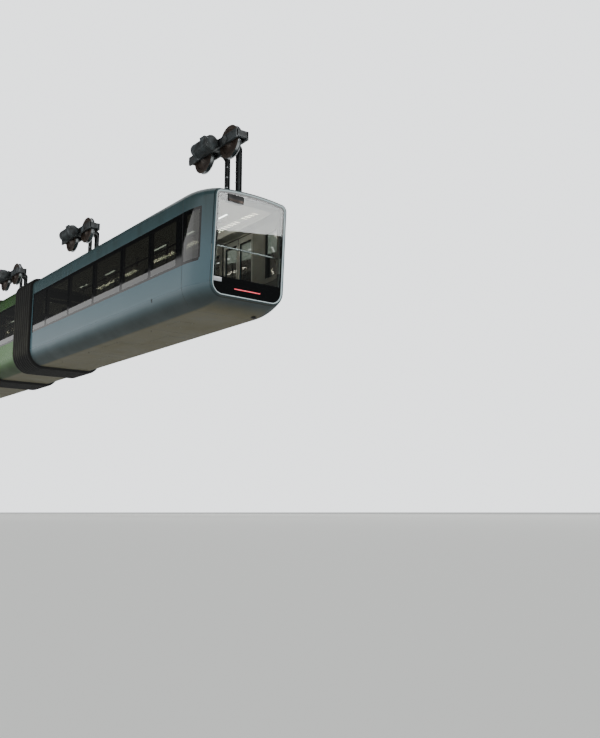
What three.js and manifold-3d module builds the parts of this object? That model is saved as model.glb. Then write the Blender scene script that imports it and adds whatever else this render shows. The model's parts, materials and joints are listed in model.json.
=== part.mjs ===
// Articulated suspended monorail car: two long end sections and a short middle section,
// hung from four two-wheel bogies.
// Millimetres. +X is forward, +Y the car's left, +Z up.
// The origin is level with the foot of the wheel treads, midway along the car.
import * as THREE from 'three';
import { mergeVertices } from 'three/addons/utils/BufferGeometryUtils.js';
import Module from 'manifold-3d';

const wasm = await Module();
wasm.setup();

// Driving dimensions
const CAR_LENGTH = 24060;
const CAR_WIDTH = 2200;
const ROOF_Z = -1080;
const BASE_Z = -3630;
const ROOF_CAMBER = 50;
const END_LENGTH = 9750;
const BELLOWS_LENGTH = 1280;
const MIDDLE_LENGTH = CAR_LENGTH - 2 * END_LENGTH - 2 * BELLOWS_LENGTH;
const GAP = 0.3;

// Body section
const WALL = 70;
const FLOOR_Z = -3300;
const CEILING_Z = -1210;
const HALF_WIDTH = CAR_WIDTH / 2;
const LOWER_CORNER = { across: 420, up: 520 };
const ROOF_CORNER = 200;

// Rounded end: all curves run out at the seam
const SEAM = 1020;
const END_NARROWING = 180;
const CHIN_RISE = 160;
const BROW_DROP = 130;
const END_LEAN = 0.0686;
const RIM_DEPTH = 35;
const RIM_WIDTH = 55;
const FACE_LOWER_CORNER = { across: 290, up: 300 };
const FACE_ROOF_CORNER = 150;
const APRON_Z = -3050;
const END_WALL = 110;

// Window band and doors
const BAND = { low: -2701, high: -1531, start: 355, end: END_LENGTH - 80 };
const SASH = 60;
const GLASS = 10;
const PILLAR = 140;
const LEFT_PILLARS = [1230, 2480, 3910, 5490, 7065, 8640];
const DOOR = { width: 1300, low: FLOOR_Z + 5, high: -1385, thick: 45, starts: [1480, 6600] };
const DOOR_WINDOW = { low: -2950, high: -1520, side: 90, meeting: 60 };

// Articulation
const HINGE_X = MIDDLE_LENGTH / 2 + BELLOWS_LENGTH / 2;
const YOKE = { half: 250, low: -3480, mid: -3400, high: -3330, boss: 280 };
const WALKWAY = { half: 600, reach: 620, turn: 40 };
const GANGWAY = { half: 780, high: -1330 };
// Bellows: how far each fold's crest and valley stand out from the body, and how far inside it the cloth ends
const FOLDS = 8;
const FOLD = { crest: 90, valley: 15, inside: 60 };

// Bogies
const PIVOTS = [1430, 9080];
const WHEEL_RADIUS = 350;
const FLANGE_RADIUS = 380;
const WHEELBASE = 1100;
const PIVOT_TOP_Z = -985;
const PIVOT_RADIUS = 280;

const half = CAR_LENGTH / 2;
const mix = (a, b, f) => a + (b - a) * f;

function material(color, roughness, metalness) {
  return { color, roughness, metalness };
}
const PAINT_BLUE = material(0x7f9ea8, 0.32, 0.1);
const PAINT_RIM = material(0xb9d0d4, 0.3, 0.1);
const PAINT_GREEN = material(0x6f9a5c, 0.32, 0.1);
const DARK_GLASS = material(0x1a2022, 0.08, 0);
const CLEAR_GLASS = material(0xa9b6ba, 0.05, 0);
const BELLOWS_RUBBER = material(0x24272a, 0.8, 0);
const BOGIE_STEEL = material(0x3d4246, 0.5, 0.5);
const WHEEL_STEEL = material(0x8b8f92, 0.35, 0.9);
const MOTOR_GREY = material(0x53595c, 0.5, 0.3);
const SEAT_FABRIC = material(0x5a4c48, 0.85, 0);
const RAIL_STEEL = material(0xb8bcbe, 0.25, 0.9);
const CAB_GREY = material(0x4b5052, 0.6, 0);
const RED_LAMP = material(0xd2202c, 0.2, 0);
const WHITE_LAMP = material(0xe9eef0, 0.15, 0);
const ROOF_GREY = material(0x70777a, 0.55, 0.2);

const car = new THREE.Group();
car.name = 'suspended_monorail_car';

// A BufferGeometry made one closed solid.
function solid(geometry) {
  const bare = new THREE.BufferGeometry();
  bare.setAttribute('position', geometry.getAttribute('position'));
  if (geometry.index) bare.setIndex(geometry.index);
  const merged = mergeVertices(bare, 1e-3);
  return new wasm.Manifold(new wasm.Mesh({
    numProp: 3,
    vertProperties: new Float32Array(merged.getAttribute('position').array),
    triVerts: new Uint32Array(merged.index.array),
  }));
}

function add(name, body, look) {
  const out = body.getMesh();
  const geometry = new THREE.BufferGeometry();
  geometry.setAttribute('position', new THREE.BufferAttribute(new Float32Array(out.vertProperties), 3));
  geometry.setIndex(new THREE.BufferAttribute(new Uint32Array(out.triVerts), 1));
  geometry.computeVertexNormals();
  const mesh = new THREE.Mesh(geometry, new THREE.MeshStandardMaterial(look));
  mesh.name = name;
  car.add(mesh);
  return mesh;
}

function box(x, y, z) {
  const [x0, x1] = [Math.min(...x), Math.max(...x)];
  const geometry = new THREE.BoxGeometry(x1 - x0, y[1] - y[0], z[1] - z[0]);
  geometry.translate((x0 + x1) / 2, (y[0] + y[1]) / 2, (z[0] + z[1]) / 2);
  return solid(geometry);
}

function upright(x, y, z, radius, sides = 24) {
  const geometry = new THREE.CylinderGeometry(radius, radius, z[1] - z[0], sides);
  geometry.rotateX(Math.PI / 2);
  geometry.translate(x, y, (z[0] + z[1]) / 2);
  return solid(geometry);
}

function crossbar(x, y, z, radius, sides = 10) {
  const geometry = new THREE.CylinderGeometry(radius, radius, y[1] - y[0], sides);
  geometry.translate(x, (y[0] + y[1]) / 2, z);
  return solid(geometry);
}

function lengthbar(x, y, z, radius, sides = 10) {
  const [x0, x1] = [Math.min(...x), Math.max(...x)];
  const geometry = new THREE.CylinderGeometry(radius, radius, x1 - x0, sides);
  geometry.rotateZ(Math.PI / 2);
  geometry.translate((x0 + x1) / 2, y, z);
  return solid(geometry);
}

// Flat plate from a list of [x, y] corners.
function plate(corners, z) {
  const shape = new THREE.Shape(corners.map(([x, y]) => new THREE.Vector2(x, y)));
  const geometry = new THREE.ExtrudeGeometry(shape, { depth: z[1] - z[0], bevelEnabled: false });
  geometry.translate(0, 0, z[0]);
  return solid(geometry);
}

const join = (...bodies) => bodies.reduce((a, b) => a.add(b));
const cut = (body, ...tools) => tools.reduce((a, b) => a.subtract(b), body);

// Solid skinned over outlines of equal point count, each a list of [x, y, z].
function loft(rings) {
  const count = rings[0].length;
  const positions = rings.flat(2);
  const index = [];
  for (let r = 0; r + 1 < rings.length; r++) {
    for (let i = 0; i < count; i++) {
      const j = (i + 1) % count;
      const [a, b] = [r * count + i, r * count + j];
      const [c, d] = [a + count, b + count];
      index.push(a, b, d, a, d, c);
    }
  }
  const last = (rings.length - 1) * count;
  const flat = rings[0].map(([, y, z]) => new THREE.Vector2(y, z));
  const flatLast = rings.at(-1).map(([, y, z]) => new THREE.Vector2(y, z));
  for (const [a, b, c] of THREE.ShapeUtils.triangulateShape(flat, [])) index.push(a, c, b);
  for (const [a, b, c] of THREE.ShapeUtils.triangulateShape(flatLast, [])) index.push(last + a, last + b, last + c);
  let volume = 0;
  const at = (i) => new THREE.Vector3().fromArray(positions, 3 * i);
  for (let i = 0; i < index.length; i += 3) {
    volume += at(index[i]).dot(at(index[i + 1]).cross(at(index[i + 2])));
  }
  if (volume < 0) for (let i = 0; i < index.length; i += 3) [index[i], index[i + 1]] = [index[i + 1], index[i]];
  const geometry = new THREE.BufferGeometry();
  geometry.setAttribute('position', new THREE.BufferAttribute(new Float32Array(positions), 3));
  geometry.setIndex(index);
  return solid(geometry);
}

// How far the rounded end has pulled in at distance s from the end face: 1 at the face, 0 from the seam on.
const pull = (s) => Math.max(0, 1 - s / SEAM) ** 2;

// Outer half outline at distance s, from the bottom up to the middle of the roof, then mirrored.
function bodyOutline(s, inset) {
  const f = pull(s);
  const hw = HALF_WIDTH - END_NARROWING * f - inset;
  const low = BASE_Z + CHIN_RISE * f + inset;
  const high = ROOF_Z - BROW_DROP * f - inset;
  const across = mix(LOWER_CORNER.across, FACE_LOWER_CORNER.across, f) - inset;
  const up = mix(LOWER_CORNER.up, FACE_LOWER_CORNER.up, f) - inset;
  const corner = Math.max(15, mix(ROOF_CORNER, FACE_ROOF_CORNER, f) - inset);
  const side = [];
  for (let i = 0; i <= 7; i++) {
    const a = (i / 7) * Math.PI / 2;
    side.push([hw - across + across * Math.sin(a), low + up - up * Math.cos(a)]);
  }
  for (let i = 0; i <= 4; i++) {
    const a = (i / 4) * Math.PI / 2;
    side.push([hw - corner + corner * Math.cos(a), high - corner + corner * Math.sin(a)]);
  }
  const flat = hw - corner;
  for (const part of [0.6, 0.25]) side.push([flat * part, high + ROOF_CAMBER * (1 - part ** 2)]);
  return [...side, ...side.map(([y, z]) => [-y, z]).reverse()];
}

function cabinOutline(s, inset) {
  const f = pull(s);
  const scale = (HALF_WIDTH - END_NARROWING * f - WALL - inset) / (HALF_WIDTH - WALL);
  const side = [[990, FLOOR_Z], [1030, FLOOR_Z + 120], [1030, CEILING_Z - 140 - 100 * f], [900, CEILING_Z - 110 * f]];
  const right = side.map(([y, z]) => [y * scale, z]);
  return [...right, ...right.map(([y, z]) => [-y, z]).reverse()];
}

// Place of a point at distance s from the end. The face leans: its top edge is at the full
// length and its foot is further in. toward is -1 at the rear, +1 at the front.
function place(toward, s, z) {
  const lean = s < SEAM ? END_LEAN * (z - (ROOF_Z - BROW_DROP)) * (1 - s / SEAM) : 0;
  return toward * (half - s + lean);
}

const STATIONS = [120, 260, 420, 600, 790, SEAM];
function lengthOf(toward, outline, s0, s1, inset = 0) {
  const stops = [s0, ...STATIONS.filter((s) => s > s0 + 1 && s < s1 - 1), s1];
  return loft(stops.map((s) => outline(s, inset).map(([y, z]) => [place(toward, s, z), y, z])));
}

// Block between two distances from the end, its ends leaning as the face does.
function block(toward, s, y, z) {
  return lengthOf(toward, () => [[y[0], z[0]], [y[1], z[0]], [y[1], z[1]], [y[0], z[1]]], s[0], s[1]);
}

// Skin of the body between two depths, over a stretch of its length and a range of heights on one side.
function skin(toward, s, side, z, from, to, grow = 0) {
  const [s0, s1] = [s[0] - grow, s[1] + grow];
  const outer = lengthOf(toward, bodyOutline, Math.max(0, s0 - 200), s1 + 50, from);
  const inner = lengthOf(toward, bodyOutline, Math.max(0, s0 - 210), s1 + 60, to);
  const y = side > 0 ? [600, 1300] : [-1300, -600];
  return cut(outer, inner).intersect(block(toward, [s0, s1], y, [z[0] - grow, z[1] + grow]));
}

const band = [BAND.low, BAND.high];
const opening = [BAND.low + SASH, BAND.high - SASH];

function endSection(name, toward) {
  const along = (s0, s1) => [toward * (half - s0), toward * (half - s1)];
  const doors = DOOR.starts.map((s) => [s, s + DOOR.width]);
  const rightBands = [
    [BAND.start, doors[0][0] - 60],
    [doors[0][1] + 60, doors[1][0] - 60],
    [doors[1][1] + 60, BAND.end],
  ];
  const leftBand = [BAND.start, BAND.end];
  const recesses = [skin(toward, leftBand, 1, band, -5, GLASS + GAP, GAP)];
  for (const stretch of rightBands) recesses.push(skin(toward, stretch, -1, band, -5, GLASS + GAP, GAP));

  // Window openings behind the glass: [start, end, side]
  const windows = [[BAND.start + SASH, SEAM - 60, 1], [BAND.start + SASH, SEAM - 60, -1]];
  const stops = [...LEFT_PILLARS, BAND.end + PILLAR / 2 - SASH];
  for (let i = 0; i + 1 < stops.length; i++) windows.push([stops[i] + PILLAR / 2, stops[i + 1] - PILLAR / 2, 1]);
  const midStart = rightBands[1][0] + SASH;
  const midSpan = (rightBands[1][1] - SASH - midStart - PILLAR) / 2;
  windows.push([midStart, midStart + midSpan, -1], [midStart + midSpan + PILLAR, midStart + 2 * midSpan + PILLAR, -1]);
  windows.push([rightBands[2][0] + SASH, BAND.end - SASH, -1]);
  const windowCuts = windows.map(([s0, s1, side]) => {
    const y = side > 0 ? [700, 1200] : [-1200, -700];
    return block(toward, [s0, s1], y, opening);
  });
  const doorCuts = doors.map(([s0, s1]) => {
    return box(along(s0 - GAP, s1 + GAP), [-1200, -880], [DOOR.low - GAP, DOOR.high + GAP]);
  });

  // Main shell with roof seats for the bogies and the yoke of the articulation
  const shell = cut(
    lengthOf(toward, bodyOutline, SEAM + GAP / 2, END_LENGTH),
    lengthOf(toward, cabinOutline, SEAM - 50, END_LENGTH - 60),
    box(along(END_LENGTH - 200, END_LENGTH + 50), [-GANGWAY.half, GANGWAY.half], [FLOOR_Z, GANGWAY.high]),
    ...windowCuts, ...doorCuts, ...recesses,
  );
  const hinge = toward * HINGE_X;
  const seats = PIVOTS.map((s) => upright(toward * (half - s), 0, [ROOF_Z - 60, PIVOT_TOP_Z - GAP], PIVOT_RADIUS));
  const yoke = join(
    box([toward * (half - END_LENGTH + 40), hinge], [-YOKE.half, YOKE.half], [YOKE.low, YOKE.mid]),
    upright(hinge, 0, [YOKE.low, YOKE.mid], YOKE.boss),
  );
  add(`${name}_body_shell`, join(shell, ...seats, yoke), PAINT_BLUE);

  // Rounded end module, rim and end window
  const endOpening = [APRON_Z, BAND.high + 250];
  const endModule = cut(
    lengthOf(toward, bodyOutline, RIM_DEPTH + GAP, SEAM - GAP / 2),
    lengthOf(toward, cabinOutline, END_WALL, SEAM + 50),
    lengthOf(toward, (s) => [[-800, endOpening[0]], [800, endOpening[0]], [800, endOpening[1] - 90],
      [720, endOpening[1]], [-720, endOpening[1]], [-800, endOpening[1] - 90]], 0, END_WALL + 60),
    ...windowCuts, ...recesses,
  );
  // Lamps: one red strip across the rear, two white lamps in front, each let into the end wall
  const lamps = toward < 0
    ? [['rear_tail_lamp', [-330, 330], [-3290, -3250], RED_LAMP]]
    : [['left_headlamp', [380, 700], [-3330, -3220], WHITE_LAMP], ['right_headlamp', [-700, -380], [-3330, -3220], WHITE_LAMP]];
  const pockets = lamps.map(([, y, z]) => {
    return block(toward, [0, RIM_DEPTH + 30 + GAP], [y[0] - GAP, y[1] + GAP], [z[0] - GAP, z[1] + GAP]);
  });
  for (const [lamp, y, z, look] of lamps) add(lamp, block(toward, [RIM_DEPTH + GAP, RIM_DEPTH + 30], y, z), look);
  add(`${name}_end_module`, cut(endModule, ...pockets), PAINT_BLUE);
  const rim = cut(
    lengthOf(toward, bodyOutline, 0, RIM_DEPTH),
    lengthOf(toward, () => bodyOutline(0, RIM_WIDTH), -20, RIM_DEPTH + 20),
  );
  add(`${name}_end_rim`, rim, PAINT_RIM);
  add(`${name}_end_window`, lengthOf(toward, () => bodyOutline(0, RIM_WIDTH + GAP), 8, RIM_DEPTH), CLEAR_GLASS);

  add(`${name}_left_window_band`, skin(toward, leftBand, 1, band, 0, GLASS), DARK_GLASS);
  ['outer', 'middle', 'inner'].forEach((where, i) => {
    add(`${name}_right_window_band_${where}`, skin(toward, rightBands[i], -1, band, 0, GLASS), DARK_GLASS);
  });

  // Roof unit between the two bogies
  const roofUnit = box(along(4300, 6300), [-620, 620], [ROOF_Z + GAP, ROOF_Z + 240]);
  add(`${name}_roof_unit`, cut(roofUnit, lengthOf(toward, bodyOutline, SEAM, END_LENGTH, -GAP)), ROOF_GREY);

  // Double doors in the right side: both leaves with their meeting seal
  doors.forEach(([s0, s1], i) => {
    const middle = (s0 + s1) / 2;
    const panes = [[s0 + DOOR_WINDOW.side, middle - DOOR_WINDOW.meeting], [middle + DOOR_WINDOW.meeting, s1 - DOOR_WINDOW.side]];
    const pane = [s0 + DOOR_WINDOW.side - 40, s1 - DOOR_WINDOW.side + 40];
    const height = [DOOR_WINDOW.low, DOOR_WINDOW.high];
    const leaves = cut(
      skin(toward, [s0, s1], -1, [DOOR.low, DOOR.high], 0, DOOR.thick),
      skin(toward, pane, -1, height, -5, GLASS + GAP, GAP),
      ...panes.map((p) => box(along(...p), [-1200, -880], [height[0] + 40, height[1] - 40])),
    );
    add(`${name}_double_door_${i + 1}`, leaves, PAINT_BLUE);
    add(`${name}_double_door_${i + 1}_glass`, skin(toward, pane, -1, height, 0, GLASS), DARK_GLASS);
  });

  // Seats in pairs along the left wall, carried by one wall rail
  const benches = [];
  for (const s of [1700, 3130, 4730, 6330, 7930]) {
    const x = toward * (half - s);
    benches.push(box([x - 230, x + 230], [120, 1000], [FLOOR_Z + 380, FLOOR_Z + 470]));
    benches.push(box([x - 230, x - 160], [120, 1000], [FLOOR_Z + 380, FLOOR_Z + 1000]));
    benches.push(box([x - 60, x + 60], [300, 420], [FLOOR_Z + GAP, FLOOR_Z + 400]));
  }
  benches.push(box(along(1500, 8300), [940, 1000], [FLOOR_Z + 280, FLOOR_Z + 385]));
  add(`${name}_seats`, join(...benches), SEAT_FABRIC);

  // Ceiling rail with posts at the doors
  const posts = [1750, 2300, 3900, 5500, 6800, 7500, 8900].map((s) => {
    return upright(toward * (half - s), -120, [FLOOR_Z + GAP, CEILING_Z - GAP], 20, 8);
  });
  add(`${name}_grab_rail`, join(lengthbar(along(1400, 9200), -120, CEILING_Z - 130, 20, 8), ...posts), RAIL_STEEL);
}

endSection('rear', -1);
endSection('front', 1);

// Middle section, carried between the two end sections
{
  const x = [-MIDDLE_LENGTH / 2, MIDDLE_LENGTH / 2];
  const straight = (outline, x0, x1, inset = 0) => {
    return loft([x0, x1].map((at) => outline(SEAM, inset).map(([y, z]) => [at, y, z])));
  };
  const glassSpan = [x[0] + 120, x[1] - 120];
  const glassIn = (side, from, to, grow = 0) => {
    const y = side > 0 ? [600, 1300] : [-1300, -600];
    return cut(straight(bodyOutline, x[0] - 50, x[1] + 50, from), straight(bodyOutline, x[0] - 60, x[1] + 60, to))
      .intersect(box([glassSpan[0] - grow, glassSpan[1] + grow], y, [band[0] - grow, band[1] + grow]));
  };
  const openings = [box([glassSpan[0] + SASH, glassSpan[1] - SASH], [-1300, 1300], opening)];
  // Walkway over the hinge: its rounded tip stays on the same arc as it turns between the end section's walls
  const walkway = (inner, hinge, toward) => {
    const turn = THREE.MathUtils.degToRad(WALKWAY.turn);
    const tip = [];
    for (let i = -4; i <= 4; i++) {
      const a = (turn * i) / 4;
      tip.push([hinge + toward * WALKWAY.reach * Math.cos(a), WALKWAY.reach * Math.sin(a)]);
    }
    const shoulder = (WALKWAY.reach - WALKWAY.half * Math.sin(turn)) / Math.cos(turn);
    const side = [[hinge + toward * shoulder, WALKWAY.half], [inner, WALKWAY.half]];
    return [[inner, -WALKWAY.half], [hinge + toward * shoulder, -WALKWAY.half], ...tip, ...side];
  };
  let shell = cut(
    straight(bodyOutline, x[0], x[1]),
    straight(cabinOutline, x[0] + 60, x[1] - 60),
    box([x[0] - 50, x[1] + 50], [-GANGWAY.half, GANGWAY.half], [FLOOR_Z, GANGWAY.high]),
    ...openings,
    glassIn(1, -5, GLASS + GAP, GAP),
    glassIn(-1, -5, GLASS + GAP, GAP),
  );
  for (const toward of [-1, 1]) {
    const hinge = toward * HINGE_X;
    const inner = toward * (MIDDLE_LENGTH / 2 - 40);
    shell = join(
      shell,
      box([inner, hinge], [-YOKE.half, YOKE.half], [YOKE.mid + GAP, YOKE.high]),
      upright(hinge, 0, [YOKE.mid + GAP, YOKE.high], YOKE.boss),
      plate(walkway(inner, hinge, toward), [YOKE.high, FLOOR_Z]),
    );
  }
  add('middle_body_shell', shell, PAINT_GREEN);
  add('middle_left_window', glassIn(1, 0, GLASS), DARK_GLASS);
  add('middle_right_window', glassIn(-1, 0, GLASS), DARK_GLASS);

  // Folded bellows between the sections
  for (const [name, toward] of [['rear_bellows', -1], ['front_bellows', 1]]) {
    const from = MIDDLE_LENGTH / 2 + GAP;
    const to = MIDDLE_LENGTH / 2 + BELLOWS_LENGTH - GAP;
    const rings = [];
    for (let i = 0; i <= 2 * FOLDS; i++) {
      const proud = i % 2 ? FOLD.crest : FOLD.valley;
      const at = toward * mix(from, to, i / (2 * FOLDS));
      rings.push(bodyOutline(SEAM, i % (2 * FOLDS) ? -proud : 0).map(([y, z]) => [at, y, z]));
    }
    add(name, cut(loft(rings), straight(bodyOutline, toward * (from - 50), toward * (to + 50), FOLD.inside)), BELLOWS_RUBBER);
  }
}

// Driver's cab in the front end and the grab bar across the rear window
{
  const x = (s) => half - s;
  const partition = cut(
    box([x(1160), x(1120)], [-1020, 1020], [FLOOR_Z + GAP, CEILING_Z - 20]),
    box([x(1200), x(1100)], [-900, 900], [-2500, -1450]),
    box([x(1200), x(1100)], [-1300, -985], [-3300, -3130]),
    box([x(1200), x(1100)], [985, 1300], [-3300, -3130]),
  );
  add('cab_partition', partition.intersect(lengthOf(1, cabinOutline, SEAM, 1300, 3)), CAB_GREY);
  const desk = join(
    block(1, [200, 700], [-760, 760], [FLOOR_Z + GAP, -2700]),
    block(1, [200, 480], [-760, 760], [-2750, -2560]),
  );
  add('driver_desk', desk, CAB_GREY);
  const seat = join(
    box([x(1060), x(860)], [-120, 120], [FLOOR_Z + GAP, -2880]),
    box([x(1100), x(790)], [-240, 240], [-2880, -2790]),
    box([x(1100), x(1040)], [-220, 220], [-2800, -2180]),
  );
  add('driver_seat', seat, SEAT_FABRIC);
  const bar = { s: 190, z: -2368, radius: 18 };
  const wide = crossbar(place(-1, bar.s, bar.z), [-HALF_WIDTH, HALF_WIDTH], bar.z, bar.radius);
  add('rear_grab_bar', wide.intersect(lengthOf(-1, cabinOutline, END_WALL, SEAM, GAP)), RAIL_STEEL);
}

// Bogies: [name, distance from the car's end to the pivot, end of the car]
const BOGIES = [
  ['bogie_1', PIVOTS[0], 1],
  ['bogie_2', PIVOTS[1], 1],
  ['bogie_3', PIVOTS[1], -1],
  ['bogie_4', PIVOTS[0], -1],
];
const AXLE_HALF = 115;
const BEAM = { inner: AXLE_HALF + GAP, outer: 170, low: 270, high: 470, half: 1010 };
const ARM = { x: [180, 320], out: 470, in: 400, foot: -900 };

function wheel() {
  // Radius and offset from the wheel's middle, from the axle's end to the double-flanged tread
  const side = [[0, AXLE_HALF], [60, AXLE_HALF], [110, 60], [270, 32], [290, 60], [FLANGE_RADIUS, 58],
    [WHEEL_RADIUS, 36]];
  const profile = [...side, ...side.map(([r, y]) => [r, -y]).reverse()];
  const geometry = new THREE.LatheGeometry(profile.map(([r, y]) => new THREE.Vector2(r, y)).reverse(), 26);
  return solid(geometry);
}

for (const [name, s, toward] of BOGIES) {
  const at = toward * (half - s);
  const parts = [];
  for (const y of [[BEAM.inner, BEAM.outer], [-BEAM.outer, -BEAM.inner]]) {
    parts.push(box([at - BEAM.half, at + BEAM.half], y, [BEAM.low, BEAM.high]));
  }
  for (const x of [-BEAM.half, -60, BEAM.half - 70]) {
    parts.push(box([at + x, at + x + (x === -60 ? 120 : 70)], [-BEAM.outer, BEAM.outer], [BEAM.low + 40, BEAM.high]));
  }
  // C-shaped hanger: out to the right of the wheels, down, and back in under them to the roof pivot
  for (const x of [[-ARM.x[1], -ARM.x[0]], ARM.x]) {
    const span = [at + x[0], at + x[1]];
    parts.push(box(span, [-ARM.out, -BEAM.outer + 10], [BEAM.high - 110, BEAM.high]));
    parts.push(box(span, [-ARM.out, -ARM.in], [ARM.foot, BEAM.high]));
    parts.push(box(span, [-ARM.out, 200], [ARM.foot, ARM.foot + 90]));
  }
  parts.push(box([at - ARM.x[1], at + ARM.x[1]], [-200, 200], [ARM.foot, ARM.foot + 90]));
  parts.push(upright(at, 0, [PIVOT_TOP_Z, ARM.foot + 10], PIVOT_RADIUS));
  add(`${name}_frame_and_hanger`, join(...parts), BOGIE_STEEL);
  const motor = join(
    lengthbar([at - 380, at + 380], BEAM.outer + 190, 330, 170, 16),
    box([at - 300, at + 300], [BEAM.outer + GAP, BEAM.outer + 120], [280, 440]),
  );
  add(`${name}_motor`, motor, MOTOR_GREY);
  for (const [end, offset] of [['leading', WHEELBASE / 2], ['trailing', -WHEELBASE / 2]]) {
    const mesh = add(`${name}_${end}_wheel`, wheel(), WHEEL_STEEL);
    mesh.position.set(at + offset, 0, WHEEL_RADIUS);
  }
}

export default car;
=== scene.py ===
# %% [markdown]
# A suspended monorail car: three body sections hinged in a row under four bogies. The packed
# model gives every size, so the scene starts from it and adds smooth skins, glass, folds, fittings
# and finishes around it.

# %% Load the frame
import json
import math

import bpy
from mathutils import Matrix, Vector


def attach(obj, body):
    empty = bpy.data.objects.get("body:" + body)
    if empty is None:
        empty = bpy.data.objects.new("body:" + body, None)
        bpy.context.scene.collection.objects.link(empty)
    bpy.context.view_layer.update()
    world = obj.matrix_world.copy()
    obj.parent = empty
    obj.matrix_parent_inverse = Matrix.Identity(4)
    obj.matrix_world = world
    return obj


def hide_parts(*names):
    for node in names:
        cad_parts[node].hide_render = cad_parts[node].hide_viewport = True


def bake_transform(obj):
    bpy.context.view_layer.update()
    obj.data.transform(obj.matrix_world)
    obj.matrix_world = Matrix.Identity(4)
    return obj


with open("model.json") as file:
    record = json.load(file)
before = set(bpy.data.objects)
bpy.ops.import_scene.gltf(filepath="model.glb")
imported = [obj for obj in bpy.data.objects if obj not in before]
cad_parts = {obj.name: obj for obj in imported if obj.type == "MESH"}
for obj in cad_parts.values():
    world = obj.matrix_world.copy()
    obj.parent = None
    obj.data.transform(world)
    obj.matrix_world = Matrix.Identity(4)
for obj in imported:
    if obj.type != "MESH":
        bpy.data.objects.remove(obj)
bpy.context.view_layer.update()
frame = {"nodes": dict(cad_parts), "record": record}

# %% [markdown]
# The driving sizes are those of the real car, in metres. Everything on an end section is placed
# by its distance from the end of the car, and "toward" is -1 at the rear and +1 at the front. At
# its face, the end is narrower on each side, its underside is raised, its roof is lowered, and
# its corners are rounded less.

# %% Driving sizes
CAR_LENGTH = 24.06
HALF_LENGTH = CAR_LENGTH / 2
HALF_WIDTH = 1.1
ROOF_Z = -1.08
BASE_Z = -3.63
FLOOR_Z = -3.3
CEILING_Z = -1.21
CAMBER = 0.05
END_LENGTH = 9.75
BELLOWS_LENGTH = 1.28
MIDDLE_HALF = HALF_LENGTH - END_LENGTH - BELLOWS_LENGTH
SEAM = 1.02
SEAM_HALF = 0.007
LEAN = 0.0686
RIM_DEPTH = 0.035
RIM_WIDTH = 0.055
END_WALL = 0.11
BAND_LOW, BAND_HIGH = -2.701, -1.531
BAND_START, BAND_END = 0.355, 9.67
SASH = 0.06
PILLAR = 0.14
LEFT_PILLARS = [1.23, 2.48, 3.91, 5.49, 7.065, 8.64]
DOOR_STARTS = [1.48, 6.6]
DOOR_WIDTH = 1.3
DOOR_LOW, DOOR_HIGH = -3.295, -1.385
DOOR_GLASS_LOW, DOOR_GLASS_HIGH = -2.95, -1.52
APRON_Z = -3.05
SKIN = 0.004
SHEET = 0.0035
PANE = 0.008
PANE_GAP = 0.003
END_NARROWER, END_RAISED, END_LOWERED = 0.18, 0.16, 0.13
FACE_ACROSS, FACE_UP, FACE_RADIUS = 0.29, 0.3, 0.15
ENDS = {"rear": -1, "front": 1}
PIVOTS = [1.43, 9.08]
BOGIES = {
    "bogie_1": (PIVOTS[0], 1), "bogie_2": (PIVOTS[1], 1),
    "bogie_3": (PIVOTS[1], -1), "bogie_4": (PIVOTS[0], -1),
}


def from_end(toward, s):
    """X of a place at distance s from the end of the car."""
    return toward * (HALF_LENGTH - s)


# %% [markdown]
# Blender's operators act on whatever is selected. A fresh import is selected all over, so each
# step first clears the selection and then picks its own object or its own faces by their place.

# %% Selection helpers
def only(obj):
    if bpy.context.object and bpy.context.object.mode != "OBJECT":
        bpy.ops.object.mode_set(mode="OBJECT")
    bpy.ops.object.select_all(action="DESELECT")
    obj.select_set(True)
    bpy.context.view_layer.objects.active = obj
    return obj


def edit(obj, mode="FACE", action="DESELECT"):
    only(obj)
    bpy.ops.object.mode_set(mode="EDIT")
    bpy.ops.mesh.select_mode(type=mode)
    bpy.ops.mesh.select_all(action=action)


def done():
    bpy.ops.object.mode_set(mode="OBJECT")


def pick_faces(obj, test):
    """Select the faces whose middle and normal pass the test, and stay in edit mode on them."""
    edit(obj)
    done()
    for face in obj.data.polygons:
        face.select = bool(test(face.center, face.normal))
    bpy.ops.object.mode_set(mode="EDIT")


def pick_points(obj, test):
    edit(obj, "VERT")
    done()
    for vertex in obj.data.vertices:
        vertex.select = bool(test(vertex.co))
    bpy.ops.object.mode_set(mode="EDIT")


def settle(obj):
    """Put the object's place, turn and size into its mesh."""
    only(obj)
    bpy.ops.object.transform_apply(location=True, rotation=True, scale=True)
    return obj


def placed(obj, at=(0, 0, 0), turn=(0, 0, 0), scale=(1, 1, 1)):
    """Put a piece that was modelled at the origin in its place."""
    obj.location, obj.rotation_euler, obj.scale = at, turn, scale
    return settle(obj)


def apply(obj, kind, **settings):
    only(obj)
    bpy.ops.object.modifier_add(type=kind)
    modifier = obj.modifiers[-1]
    for name, value in settings.items():
        setattr(modifier, name, value)
    bpy.ops.object.modifier_apply(modifier=modifier.name)
    return obj


def smooth(obj, degrees=35.0, weighted=True):
    only(obj)
    bpy.ops.object.shade_smooth_by_angle(angle=math.radians(degrees), keep_sharp_edges=False)
    if weighted:
        apply(obj, "WEIGHTED_NORMAL", keep_sharp=True, weight=60)
    return obj


def joined(name, objects):
    only(objects[0])
    for obj in objects:
        obj.select_set(True)
    if len(objects) > 1:
        bpy.ops.object.join()
    objects[0].name = objects[0].data.name = name
    return settle(objects[0])


def copied(obj, offset, name=None):
    """A copy with its own mesh, moved by the offset."""
    only(obj)
    bpy.ops.object.duplicate()
    other = bpy.context.object
    other.location = offset
    if name:
        other.name = other.data.name = name
    return settle(other)


def outward(obj):
    edit(obj, "FACE", "SELECT")
    bpy.ops.mesh.normals_make_consistent(inside=False)
    done()
    return obj


def triangles(obj):
    return sum(len(face.vertices) - 2 for face in obj.data.polygons)


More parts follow.
